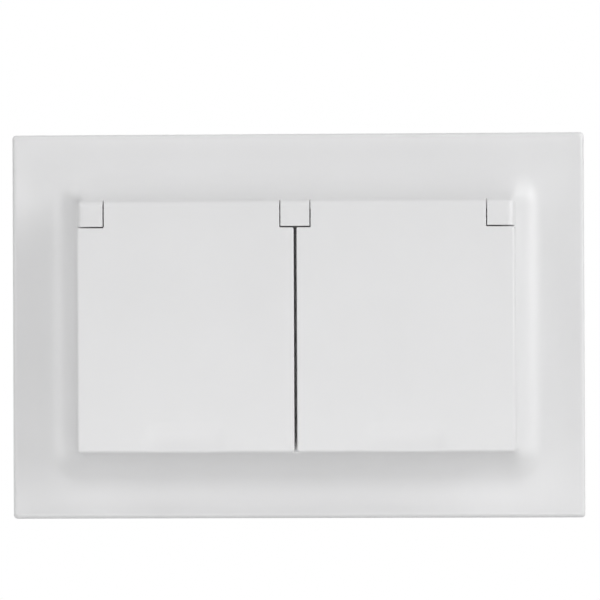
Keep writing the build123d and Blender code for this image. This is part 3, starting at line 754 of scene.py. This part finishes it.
class SOCKET_OT_lids(SocketOperator):
    """Make the two lids with their knuckles, ribs and finger scoops"""
    bl_idname = "socket.lids"
    bl_label = "Lids"
    convex = np.array([1, 1, 1, -1, 1, 1, -1, 1])
    floors = [2, 6]
    least_round, spacing, margin, hub_y = 0.06, 1.1, 0.35, -2.0

    def outline(self, sizes, post):
        """Corners of the right-hand lid seen from the front, anticlockwise from the
        lower left, with a notch for a post at each upper corner."""
        x0, y0 = LID_LOW[0], LID_LOW[1]
        x1, y1 = LID_HIGH[0], LID_HIGH[1]
        notch = AXIS_Y - sizes.post_drop - sizes.post_gap
        ear0 = sizes.post_middle / 2 + sizes.post_gap
        ear1 = x1 - post - sizes.post_gap
        return np.array([[x0, y0], [x1, y0], [x1, notch], [ear1, notch],
                         [ear1, y1], [ear0, y1], [ear0, notch], [x0, notch]])

    def rings(self, corners, insets, radii):
        """Rings round the outline, one for each row of insets, which give how far
        each edge moves inwards. A corner between edges with inward normals n and m is
        the arc c - r (n cos t + m sin t) about c = corner + r (n + m), and a hollow
        corner has its centre on the other side. Points follow at even spacing, the
        first and last a margin away from the corners."""
        ahead = np.roll(corners, -1, 0) - corners
        length = np.linalg.norm(ahead, axis=1)
        normal = np.stack([-ahead[:, 1], ahead[:, 0]], -1) / length[:, None]
        before = np.roll(normal, 1, 0)
        inset_before = np.roll(insets, 1, 1)
        spot = corners + inset_before[..., None] * before + insets[..., None] * normal
        deepest, shallowest = np.maximum(insets, inset_before), np.minimum(insets, inset_before)
        radius = np.where(self.convex > 0, np.maximum(radii - deepest, self.least_round),
                          radii + shallowest)
        signed = (radius * self.convex)[..., None]
        centre = spot + signed * (before + normal)
        angle = np.linspace(0, math.pi / 2, 6)
        arcs = centre[:, :, None] - signed[:, :, None] * (
            before[None, :, None] * np.cos(angle)[:, None] + normal[None, :, None] * np.sin(angle)[:, None])
        columns = []
        for k in range(len(corners)):
            columns.append(arcs[:, k])
            stretch = arcs[:, (k + 1) % len(corners), :1] - arcs[:, k, -1:]
            count = max(int(length[k] / self.spacing), 1)
            near = self.margin / length[k]
            part = np.r_[near, np.linspace(0, 1, count + 2)[1:-1], 1 - near]
            part = np.unique(np.clip(part, 0.02, 0.98))[:, None]
            columns.append(arcs[:, k, -1:] + stretch * part)
        return np.concatenate(columns, 1)

    def scoop(self, sizes, x, y):
        """Depth of the finger scoop: a shallow cylinder across the lid's lower edge,
        (1 - v^2) deep, faded at its ends by 1 - u^8."""
        u = (x - (LID_LOW[0] + LID_HIGH[0]) / 2) / (sizes.scoop_width / 2)
        v = (y - LID_LOW[1]) / (sizes.scoop_height / 2) - 1
        return sizes.scoop_depth * np.clip(1 - v ** 2, 0, None) * np.clip(1 - u ** 8, 0, None)

    def shell(self, sizes, post):
        """The lid's wall in one surface between two poles: the ceiling inside, down
        the skirt, over its edge, up the outside and round to the front. At height h
        the notch's floor lies clear of the post's corner, at sqrt(R R - (h - axis)^2)
        under the axis, where R is the corner's distance from the axis and a gap."""
        corners = self.outline(sizes, post)
        front, rear = LID_HIGH[2], LID_LOW[2]
        ceiling = front - sizes.wall
        edge, cut, fillet, lip = sizes.edge_round, sizes.cut_round, sizes.inner_round, sizes.lip_bevel
        rounds = np.array([edge, edge, cut, cut, sizes.top_round, cut, cut, sizes.seam_round])
        radii = np.repeat([sizes.lower_corner, sizes.notch_corner, sizes.ear_corner, sizes.notch_corner], 2)
        wall_top = front - sizes.top_round
        turn = np.linspace(0, math.pi / 2, 12)[1:]
        steps = np.unique(np.r_[wall_top + sizes.top_round * np.sin(turn),
                                front - edge * (1 - np.sin(turn[::2])),
                                front - cut * (1 - np.sin(turn[::3]))])
        climb = np.r_[np.linspace(rear + lip, wall_top, 14), steps]
        above = climb[:, None] - (front - rounds)
        curve = rounds - np.sqrt(np.clip(rounds ** 2 - np.clip(above, 0, None) ** 2, 0, None))
        reach = math.hypot(FACE_HIGH[2] - AXIS_H, sizes.post_drop) + sizes.swing_clear
        lift = np.sqrt(np.clip(reach ** 2 - (climb - AXIS_H) ** 2, 0, None))
        bite = np.clip(lift - sizes.post_drop - sizes.post_gap, 0, None)
        curve[:, self.floors] = np.maximum(curve[:, self.floors], bite[:, None])
        deep = np.full(8, sizes.skirt)
        deep[self.floors] = bite.max() + sizes.notch_wall
        inner = np.stack([deep + fillet, deep + 0.3 * fillet, deep, deep, deep - lip, np.full(8, lip)])
        outer = self.rings(corners, curve, radii)
        inner = self.rings(corners, inner, radii)
        tongue = AXIS_Y - sizes.post_drop
        low = np.where(outer[:1, :, 1] > tongue, AXIS_H - sizes.tail, rear)
        vaulted = np.full((3, low.shape[1]), ceiling) - fillet * np.array([[0], [0.3], [1]])
        inner_h = np.concatenate([vaulted, low + lip, low, low])
        share = np.clip((climb - rear) / (wall_top - rear), 0, 1)[:, None]
        outer_h = np.where(climb[:, None] < wall_top, low + (wall_top - low) * share, climb[:, None])
        hub = np.array([(LID_LOW[0] + LID_HIGH[0]) / 2, self.hub_y])
        cap = hub + (outer[-1] - hub) * np.r_[0.985, np.linspace(0.96, 0.05, 34)][:, None, None]
        vault = hub + (inner[0] - hub) * np.array([0.1, 0.4, 0.7, 0.97])[:, None, None]
        bowed = climb >= wall_top
        outer_h[bowed] -= self.scoop(sizes, outer[bowed, :, 0], outer[bowed, :, 1])
        cap_h = front - self.scoop(sizes, cap[..., 0], cap[..., 1])
        vault_h = np.full(vault.shape[:2], ceiling)
        rows = [(vault, vault_h), (inner, inner_h), (outer, outer_h), (cap, cap_h)]
        points = np.concatenate([np.concatenate([flat, height[..., None]], -1) for flat, height in rows])
        return points, np.r_[hub, ceiling], np.r_[hub, front]

    def knuckle(self, sizes, start):
        """A hinge eye round the pin: radius r at angle a, squared off towards the
        lid's front top edge, where it is flat / max(cos a, sin a) if that is more."""
        angle = np.linspace(0, 2 * math.pi, 72, endpoint=False)
        nearer = np.maximum(np.maximum(np.cos(angle), np.sin(angle)), 0.1)
        square = (sizes.knuckle_radius - sizes.knuckle_flat) / nearer
        quarter = (np.cos(angle) > -0.01) & (np.sin(angle) > -0.01)
        outer = np.where(quarter, np.maximum(sizes.knuckle_radius, square), sizes.knuckle_radius)
        inner = np.full(len(angle), sizes.bore_radius)
        end = start + sizes.knuckle_length
        edge = sizes.knuckle_bevel
        rows = [(inner, start + edge), (inner + edge, start), (outer - edge, start), (outer, start + edge),
                (outer, end - edge), (outer - edge, end), (inner + edge, end), (inner, end - edge)]
        return np.stack([np.stack([0 * r + x, AXIS_Y + r * np.sin(angle), AXIS_H + r * np.cos(angle)], -1)
                         for r, x in rows])

    def rib(self, sizes):
        """The round rib under the ceiling that the lid's seal is pushed over."""
        half = sizes.rib_width / 2
        middle = (RING_HIGH[0] - RING_LOW[0]) / 2 - sizes.seal_wall - half
        low, high = RING_LOW[2] + sizes.channel, LID_HIGH[2] - sizes.wall / 2
        return lathe(soften([[middle - half, low], [middle + half, low], [middle + half, high],
                             [middle - half, high]], FINEST), RECESS, 128)

    def execute(self, context):
        sizes = context.scene.socket_lids
        for side, sign in SIDES.items():
            post = sizes.post_left if sign < 0 else sizes.post_right
            far, near = self.outline(sizes, post)[[4, 5], 0]
            turned = np.array([sign, 1, 1])
            shell = tuple(part * turned for part in self.shell(sizes, post))
            knuckles = [self.knuckle(sizes, start) * turned for start in (near, far - sizes.knuckle_length)]
            make_piece(f"{side}_lid_shell", f"{side}_lid", f"{side}_lid_body", "white_gloss",
                       [shell, *knuckles, self.rib(sizes) * turned])
        return {"FINISHED"}


class SOCKET_OT_lid_seals(SocketOperator):
    """Make the round seal inside each lid"""
    bl_idname = "socket.lid_seals"
    bl_label = "Lid seals"

    def execute(self, context):
        sizes = context.scene.socket_lids
        wall, lip, rise = sizes.seal_wall, sizes.seal_lip, sizes.seal_rise
        for side in SIDES:
            low, high = extent(f"{side}_lid_gasket")
            outer = (high[0] - low[0]) / 2
            inner = outer - 2 * wall - sizes.rib_width
            top, bottom, channel = high[2], low[2], low[2] + sizes.channel
            profile = soften([[inner, top], [inner, bottom + rise], [inner + lip, bottom],
                              [outer - lip, bottom], [outer, bottom + rise], [outer, top],
                              [outer - wall, top], [outer - wall, channel],
                              [inner + wall, channel], [inner + wall, top]], sizes.seal_round)
            make_piece(f"{side}_lid_seal", f"{side}_lid_gasket", f"{side}_lid_body", "seal_rubber",
                       [lathe(profile, (low[:2] + high[:2]) / 2, 144)], 70)
        return {"FINISHED"}


class SOCKET_OT_hinge(SocketOperator):
    """Make the hinge pins and the torsion springs round them"""
    bl_idname = "socket.hinge"
    bl_label = "Hinge pins and springs"

    def pin(self, low, high):
        """A turned pin along x whose ends are flat domes: r = R cos b where x is
        R (1 - sin b) / 3 in from the end."""
        radius = (high[1] - low[1]) / 2
        dome = np.linspace(1.4, 0, 6)
        x = np.r_[low[0] + radius / 3 * (1 - np.sin(dome)), high[0] - radius / 3 * (1 - np.sin(dome[::-1]))]
        r = radius * np.r_[np.cos(dome), np.cos(dome[::-1])]
        angle = np.linspace(0, 2 * math.pi, 48, endpoint=False)
        rows = np.stack([x[:, None] + 0 * angle, AXIS_Y + r[:, None] * np.sin(angle),
                         AXIS_H + r[:, None] * np.cos(angle)], -1)
        return rows, [low[0], AXIS_Y, AXIS_H], [high[0], AXIS_Y, AXIS_H]

    def spring(self, sizes, tail, middle):
        """A coil of radius R about the pin, (R cos a, R sin a) with the pitch along x,
        whose ends run on as straight legs along their tangents: the first down to the
        flange, the last up to the tail of the lid's top wall."""
        ceiling = LID_HIGH[1] - sizes.top_wall - AXIS_Y - sizes.wire - sizes.rest
        behind = tail - sizes.leg_inset
        lift = math.acos(sizes.coil_radius / math.hypot(ceiling, behind)) - math.atan2(behind, ceiling)
        drop = AXIS_H - LID_LOW[2] + sizes.lid_clear - sizes.wire - sizes.rest
        fixed = (sizes.coil_radius * math.cos(sizes.start) + drop) / -math.sin(sizes.start)
        moving = (sizes.coil_radius * math.sin(lift) + behind) / math.cos(lift)
        end = 2 * math.pi * sizes.turns + math.pi / 2 - lift
        angle = np.linspace(sizes.start, end, 200)
        length = sizes.pitch * (end - sizes.start) / (2 * math.pi)
        x = middle + length / 2 - sizes.pitch * (angle - sizes.start) / (2 * math.pi)
        coil = np.stack([x, AXIS_Y + sizes.coil_radius * np.sin(angle),
                         AXIS_H + sizes.coil_radius * np.cos(angle)], -1)
        radial = np.stack([np.zeros(200), np.sin(angle), np.cos(angle)], -1)
        first, last = coil[0] - coil[1], coil[-1] - coil[-2]
        steps = np.linspace(0, 1, 12)[1:, None]
        fixed_leg = coil[0] + first / np.linalg.norm(first) * fixed * steps[::-1]
        moving_leg = coil[-1] + last / np.linalg.norm(last) * moving * steps
        path = np.concatenate([fixed_leg, coil, moving_leg])
        radial = np.concatenate([np.repeat(radial[:1], 11, 0), radial, np.repeat(radial[-1:], 11, 0)])
        return tube(path, radial, sizes.wire), x[0] - sizes.wire, x[-1] + sizes.wire

    def execute(self, context):
        sizes = context.scene.socket_springs
        tail = context.scene.socket_lids.tail
        for side in SIDES:
            pin = self.pin(*extent(f"{side}_hinge_pin"))
            make_piece(f"{side}_turned_pin", f"{side}_hinge_pin", "socket_body", "steel", [pin])
            low, high = extent(f"{side}_lid_spring")
            wire, fixed_x, moving_x = self.spring(sizes, tail, (low[0] + high[0]) / 2)
            spring = make_piece(f"{side}_torsion_spring", f"{side}_lid_spring", None, "steel", [wire], 80)
            ends = (Vector((x, -AXIS_H, AXIS_Y)) * MM for x in (fixed_x, moving_x))
            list(ends)
            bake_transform(spring)
        return {"FINISHED"}


class SOCKET_OT_shutters(SocketOperator):
    """Make the shutters and their compression springs"""
    bl_idname = "socket.shutters"
    bl_label = "Shutters"

    def execute(self, context):
        sizes = context.scene.socket_springs
        joints = {joint["name"]: joint for joint in frame["joints"]}
        for side in SIDES:
            copy_piece(f"{side}_shutter_slider", f"{side}_shutter", f"{side}_shutter_body",
                       "shutter_plastic")
            low, high = extent(f"{side}_shutter_spring")
            middle = (low + high) / 2
            slide = Vector(joints[f"{side}_shutter_slide"]["axis"])
            travel = joints[f"{side}_shutter_slide"]["range_m"][1] / MM
            along = np.array([slide.x, slide.z, 0.0])
            across = np.array([-along[1], along[0], 0.0])
            coil, wire = sizes.shutter_coil, sizes.shutter_wire
            length = (high[0] - low[0]) / abs(slide.x) - 2 * (coil + wire) - sizes.shutter_slack
            turn = np.linspace(0, 2 * math.pi * sizes.shutter_turns, 360)
            radial = np.cos(turn)[:, None] * np.array([0, 0, 1.0]) + np.sin(turn)[:, None] * across
            reach = (turn / turn[-1] - 0.5)[:, None] * (length - 2 * wire)
            winding = tube(middle + along * reach + radial * coil, radial, wire, 10)
            spring = make_piece(f"{side}_coil_spring", f"{side}_shutter_spring", "socket_body", "steel",
                                [winding], 80)
            seat = middle + along * length / 2
            (length - travel) / length
            seat[0] * MM
            -seat[2] * MM
            seat[1] * MM
            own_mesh(spring)
        return {"FINISHED"}


class SOCKET_OT_mouldings(SocketOperator):
    """Make the socket face, the base moulding and the rear cover"""
    bl_idname = "socket.mouldings"
    bl_label = "Mouldings"

    def execute(self, context):
        for node, name, slot in (("socket_face", "socket_face_moulding", "white_gloss"),
                                 ("base_moulding", "contact_base", "grey_plastic"),
                                 ("rear_cover", "terminal_cover", "grey_plastic")):
            copy_piece(name, node, "socket_body", slot)
        return {"FINISHED"}


class SOCKET_OT_metalwork(SocketOperator):
    """Make the strap, contact strips, earth parts and terminal clamps"""
    bl_idname = "socket.metalwork"
    bl_label = "Metalwork"

    def execute(self, context):
        stampings = {"mounting_strap": "plated_steel", "live_strip": "brass", "neutral_strip": "brass",
                     "earth_bridge": "brass", "left_earth_clip": "tinned_brass",
                     "right_earth_clip": "tinned_brass"}
        stampings.update({f"{name}_terminal_clamp": "plated_steel" for name in TERMINALS})
        for node, slot in stampings.items():
            copy_piece(f"stamped_{node}", node, "socket_body", slot)
        return {"FINISHED"}


class SOCKET_OT_fasteners(SocketOperator):
    """Make the screws with their threads and driver recesses, and the rivets"""
    bl_idname = "socket.fasteners"
    bl_label = "Screws and rivets"

    def screw(self, sizes, shank, head, tip, seat, top, slotted):
        """A screw along h from its tip to the top of its head. Over the head the
        recess takes d = D where |x| or |y| is under half an arm and both are within
        its reach, or |x| under half a slot. Along the shank the radius follows a
        zigzag of height h and turn a, r = R - depth |2 frac(h / pitch - a) - 1|."""
        angle = np.linspace(0, 2 * math.pi, 72, endpoint=False)
        rise = top - seat
        crown = head * np.linspace(0.04, 0.9, 22)[:, None]
        x, y = crown * np.cos(angle), crown * np.sin(angle)
        dome = top - sizes.crown * rise * (crown / head) ** 2 + 0 * x
        if slotted:
            inside = np.clip((sizes.slot_width / 2 - np.abs(x)) / sizes.recess_draft, 0, 1)
        else:
            lesser, greater = np.minimum(np.abs(x), np.abs(y)), np.maximum(np.abs(x), np.abs(y))
            inside = np.clip((sizes.arm_width / 2 - lesser) / sizes.recess_draft, 0, 1)
            inside = inside * np.clip((sizes.arm_reach * head - greater) / sizes.recess_end, 0, 1)
        depth = min(sizes.recess_depth, 0.7 * rise)
        face = np.stack([x, y, dome - depth * inside], -1)
        roll = np.linspace(0.15, 1, 5) * math.pi / 2
        edge_r = head * (0.9 + 0.1 * np.sin(roll))
        edge_h = top - sizes.crown * rise - 0.3 * rise * (1 - np.cos(roll))
        neck_r, neck_h = np.r_[edge_r, head, shank], np.r_[edge_h, seat, seat - 0.01]
        neck = lathe(np.stack([neck_r, neck_h], -1), (0, 0), 72)
        count = int((seat - tip) / sizes.thread_pitch * 8)
        height = np.linspace(seat - 0.3, tip + 0.4, count)[:, None]
        tooth = np.abs(2 * np.mod(height / sizes.thread_pitch - angle / (2 * math.pi), 1) - 1)
        radius = shank - sizes.thread_depth * tooth
        thread = np.stack([radius * np.cos(angle), radius * np.sin(angle), height + 0 * radius], -1)
        point = lathe([[shank * 0.8, tip + 0.1], [shank * 0.6, tip]], (0, 0), 72)
        return np.concatenate([face, neck, thread, point]), [0, 0, top - depth], [0, 0, tip]

    def turned(self, screw, matrix, origin):
        """The screw with its own axes laid along the columns of the matrix."""
        return [np.asarray(part) @ np.asarray(matrix, float).T + origin for part in screw]

    def rivet(self, sizes, tip, seat, top):
        """A domed rivet: a quarter ellipse over its head, then its shank."""
        shank, head = sizes.rivet_shank, sizes.rivet_head
        bow = np.linspace(0.08, 1, 9) * math.pi / 2
        r = np.r_[head * np.sin(bow), head * 0.98, shank, shank, shank * 0.9]
        h = np.r_[seat + (top - seat) * (0.2 + 0.8 * np.cos(bow)), seat, seat, tip + 0.15, tip]
        return lathe(np.stack([r, h], -1), (0, 0), 48), [0, 0, top], [0, 0, tip]

    def face_screw(self, sizes, side):
        """The pan-head screw in the middle of a recess."""
        low, high = extent(f"{side}_face_screw")
        head = (high[0] - low[0]) / 2
        screw = self.screw(sizes, head / 2, head, low[2], high[2] - sizes.pan_height, high[2], False)
        return [self.turned(screw, np.eye(3), np.r_[(low[:2] + high[:2]) / 2, 0])]

    def cover_screws(self, sizes):
        """Two screws at opposite corners of the rear cover, with their heads to the rear."""
        low, high = extent("rear_cover_screws")
        length = high[2] - low[2]
        reach = (high[:2] - low[:2]) / 2 - sizes.cover_head
        screw = self.screw(sizes, sizes.cover_shank, sizes.cover_head, 0, length - sizes.cover_height,
                           length, False)
        return [self.turned(screw, np.diag([1, -1, -1]),
                            np.r_[(high[:2] + low[:2]) / 2 + reach * np.array([sign, -sign]), high[2]])
                for sign in (-1, 1)]

    def clamp_screw(self, sizes, name):
        """A slotted screw that points at the wires, from above or, for neutral, from below."""
        low, high = extent(f"{name}_terminal_screw")
        sign = -1 if name == "neutral" else 1
        centre = (low + high) / 2
        centre[1] = low[1] if sign > 0 else high[1]
        length = high[1] - low[1]
        upward = np.array([[1, 0, 0], [0, 0, sign], [0, -sign, 0]])
        screw = self.screw(sizes, sizes.clamp_shank, sizes.clamp_head, 0, length - sizes.clamp_height,
                           length, True)
        return [self.turned(screw, upward, centre)]

    def strap_rivets(self, sizes):
        """The four rivets that hold the strap to the base, one near each corner."""
        low, high = extent("strap_rivets")
        rivet = self.rivet(sizes, low[2], extent("mounting_strap")[1][2], high[2])
        inset = sizes.rivet_head
        return [self.turned(rivet, np.eye(3), [x, y, 0]) for x in (low[0] + inset, high[0] - inset)
                for y in (low[1] + inset, high[1] - inset)]

    def earth_rivet(self, sizes):
        """The rivet through the earth bridge."""
        low, high = extent("earth_rivet")
        rivet = self.rivet(sizes, low[2], high[2] - sizes.rivet_height, high[2])
        return [self.turned(rivet, np.eye(3), np.r_[(low[:2] + high[:2]) / 2, 0])]

    def execute(self, context):
        sizes = context.scene.socket_screws
        pieces = [(f"{side}_pan_screw", f"{side}_face_screw", self.face_screw(sizes, side))
                  for side in SIDES]
        pieces += [("cover_screws", "rear_cover_screws", self.cover_screws(sizes))]
        pieces += [(f"{name}_slotted_screw", f"{name}_terminal_screw", self.clamp_screw(sizes, name))
                   for name in TERMINALS]
        pieces += [("domed_strap_rivets", "strap_rivets", self.strap_rivets(sizes)),
                   ("domed_earth_rivet", "earth_rivet", self.earth_rivet(sizes))]
        for name, node, surfaces in pieces:
            make_piece(name, node, "socket_body", "steel", surfaces, 45)
        return {"FINISHED"}


class SOCKET_OT_studio(SocketOperator):
    """Set up the floor, the light and the camera"""
    bl_idname = "socket.studio"
    bl_label = "Studio"
    # Place, width and height of each lamp, in metres
    lamps = {
        "high_right": ((0.98, -0.32, 1.23), 1.5, 1.1),
        "right": ((1.36, -0.74, 0.4), 0.8, 0.8),
        "left": ((-1.2, -1.05, 0.0), 0.9, 0.8),
        "high_left": ((-0.98, -0.32, 1.23), 0.8, 0.8),
        "above_right": ((0.95, -1.1, 0.75), 0.8, 0.6),
        "above_left": ((-0.95, -1.1, 0.75), 0.8, 0.6),
        "low": ((0.0, -0.7, -0.2), 0.6, 0.3),
    }

    def lamp(self, name, power, place, width, height):
        """A rectangular lamp that faces the socket."""
        light = bpy.data.lights.new(name, "AREA")
        light.shape = "RECTANGLE"
        light.size, light.size_y, light.energy = width, height, power
        lamp = bpy.data.objects.new(name, light)
        lamp.location = place
        lamp.rotation_euler = (-Vector(place)).to_track_quat("-Z", "Y").to_euler()
        bpy.context.scene.collection.objects.link(lamp)

    def floor(self, studio):
        """A pale floor that keeps the shadow and, by its distance from the middle,
        fades into the white background."""
        across = np.array([[-1, -1], [1, -1], [1, 1], [-1, 1]]) * studio.floor_half
        mesh = bpy.data.meshes.new("studio_floor")
        mesh.from_pydata(np.c_[across, np.full(4, -studio.floor_drop)].tolist(), [], [[0, 1, 2, 3]])
        floor = bpy.data.objects.new("studio_floor", mesh)
        bpy.context.scene.collection.objects.link(floor)
        material, graph = new_graph("studio_floor")
        shadow = graph.node("ShaderNodeBsdfDiffuse", {}, {"Color": (0.86, 0.86, 0.86, 1)})
        white = graph.node("ShaderNodeEmission", {}, {"Color": (1, 1, 1, 1), "Strength": 1.0})
        seen = graph.node("ShaderNodeLightPath", {}, {}, "Is Camera Ray")
        spot = graph.node("ShaderNodeTexCoord", {}, {}, "Object")
        flat = graph.node("ShaderNodeVectorMath", {"operation": "MULTIPLY"}, {0: spot, 1: (1, 1, 0)})
        away = graph.node("ShaderNodeVectorMath", {"operation": "LENGTH"}, {0: flat}, "Value")
        fade = graph.contrast(away, studio.fade_start, studio.fade_end)
        bright = seen * (1 - (1 - fade) * studio.floor_shade)
        mixed = graph.node("ShaderNodeMixShader", {}, {0: bright, 1: shadow, 2: white})
        graph.node("ShaderNodeOutputMaterial", {}, {"Surface": mixed})
        mesh.materials.append(material)

    def world(self, ambient):
        """White where the camera or a reflection sees it, and an even light elsewhere."""
        world = bpy.data.worlds.new("studio_world")
        bpy.context.scene.world = world
        world.use_nodes = True
        graph = Graph(world.node_tree)
        camera = graph.node("ShaderNodeLightPath", {}, {}, "Is Camera Ray")
        seen = camera.maths("MAXIMUM", camera, camera.other("Is Glossy Ray"))
        strength = seen * (1 - ambient) + ambient
        light = graph.node("ShaderNodeBackground", {}, {"Color": (1, 1, 1, 1), "Strength": strength})
        graph.node("ShaderNodeOutputWorld", {}, {"Surface": light})

    def camera(self, studio):
        """Looks at the aim from the given angles, then rolls about its own line of sight."""
        data = bpy.data.cameras.new("studio_camera")
        data.lens = studio.lens
        data.sensor_width = 36.0
        data.clip_start, data.clip_end = 0.01, 50.0
        camera = bpy.data.objects.new("studio_camera", data)
        bpy.context.scene.collection.objects.link(camera)
        level = math.cos(studio.elevation)
        back = Vector((math.sin(studio.azimuth) * level, -math.cos(studio.azimuth) * level,
                       math.sin(studio.elevation)))
        turn = (-back).to_track_quat("-Z", "Y").to_matrix().to_4x4() @ Matrix.Rotation(-studio.roll, 4, "Z")
        camera.matrix_world = Matrix.Translation(Vector(studio.aim) + back * studio.distance) @ turn
        bpy.context.scene.camera = camera

    def execute(self, context):
        studio = context.scene.socket_studio
        context.scene.view_settings.view_transform = "Standard"
        self.floor(studio)
        self.world(studio.ambient)
        for name, (place, width, height) in self.lamps.items():
            self.lamp(f"{name}_lamp", getattr(studio, name), place, width, height)
        self.camera(studio)
        return {"FINISHED"}


class SOCKET_PT_panel(bpy.types.Panel):
    """The socket's operators and values in the sidebar"""
    bl_label = "Weatherproof socket"
    bl_idname = "SOCKET_PT_panel"
    bl_space_type = "VIEW_3D"
    bl_region_type = "UI"
    bl_category = "Socket"

    def draw(self, context):
        for operator in OPERATORS:
            self.layout.operator(operator.bl_idname, text=operator.bl_label)
        for name, group in GROUPS.items():
            box = self.layout.box()
            box.label(text=group.__doc__)
            for key in group.__annotations__:
                box.prop(getattr(context.scene, name), key)


GROUPS = {
    "socket_frame": SocketFrameSizes,
    "socket_lids": SocketLidSizes,
    "socket_springs": SocketSpringSizes,
    "socket_screws": SocketScrewSizes,
    "socket_finishes": SocketFinishes,
    "socket_studio": SocketStudio,
}
OPERATORS = (
    SOCKET_OT_cover_frame,
    SOCKET_OT_lids,
    SOCKET_OT_lid_seals,
    SOCKET_OT_hinge,
    SOCKET_OT_shutters,
    SOCKET_OT_mouldings,
    SOCKET_OT_metalwork,
    SOCKET_OT_fasteners,
    SOCKET_OT_studio,
)


def register():
    """Registers the classes and hangs the property groups on the scene."""
    for cls in (*GROUPS.values(), *OPERATORS, SOCKET_PT_panel):
        bpy.utils.register_class(cls)
    for name, group in GROUPS.items():
        setattr(bpy.types.Scene, name, PointerProperty(type=group))


def unregister():
    """Undoes register in the opposite order."""
    for name in GROUPS:
        delattr(bpy.types.Scene, name)
    for cls in (SOCKET_PT_panel, *OPERATORS[::-1], *GROUPS.values()):
        bpy.utils.unregister_class(cls)


def main():
    """Registers the classes, then makes every piece."""
    register()
    for operator in OPERATORS:
        family, name = operator.bl_idname.split(".")
        getattr(getattr(bpy.ops, family), name)()


if __name__ == "__main__":
    main()
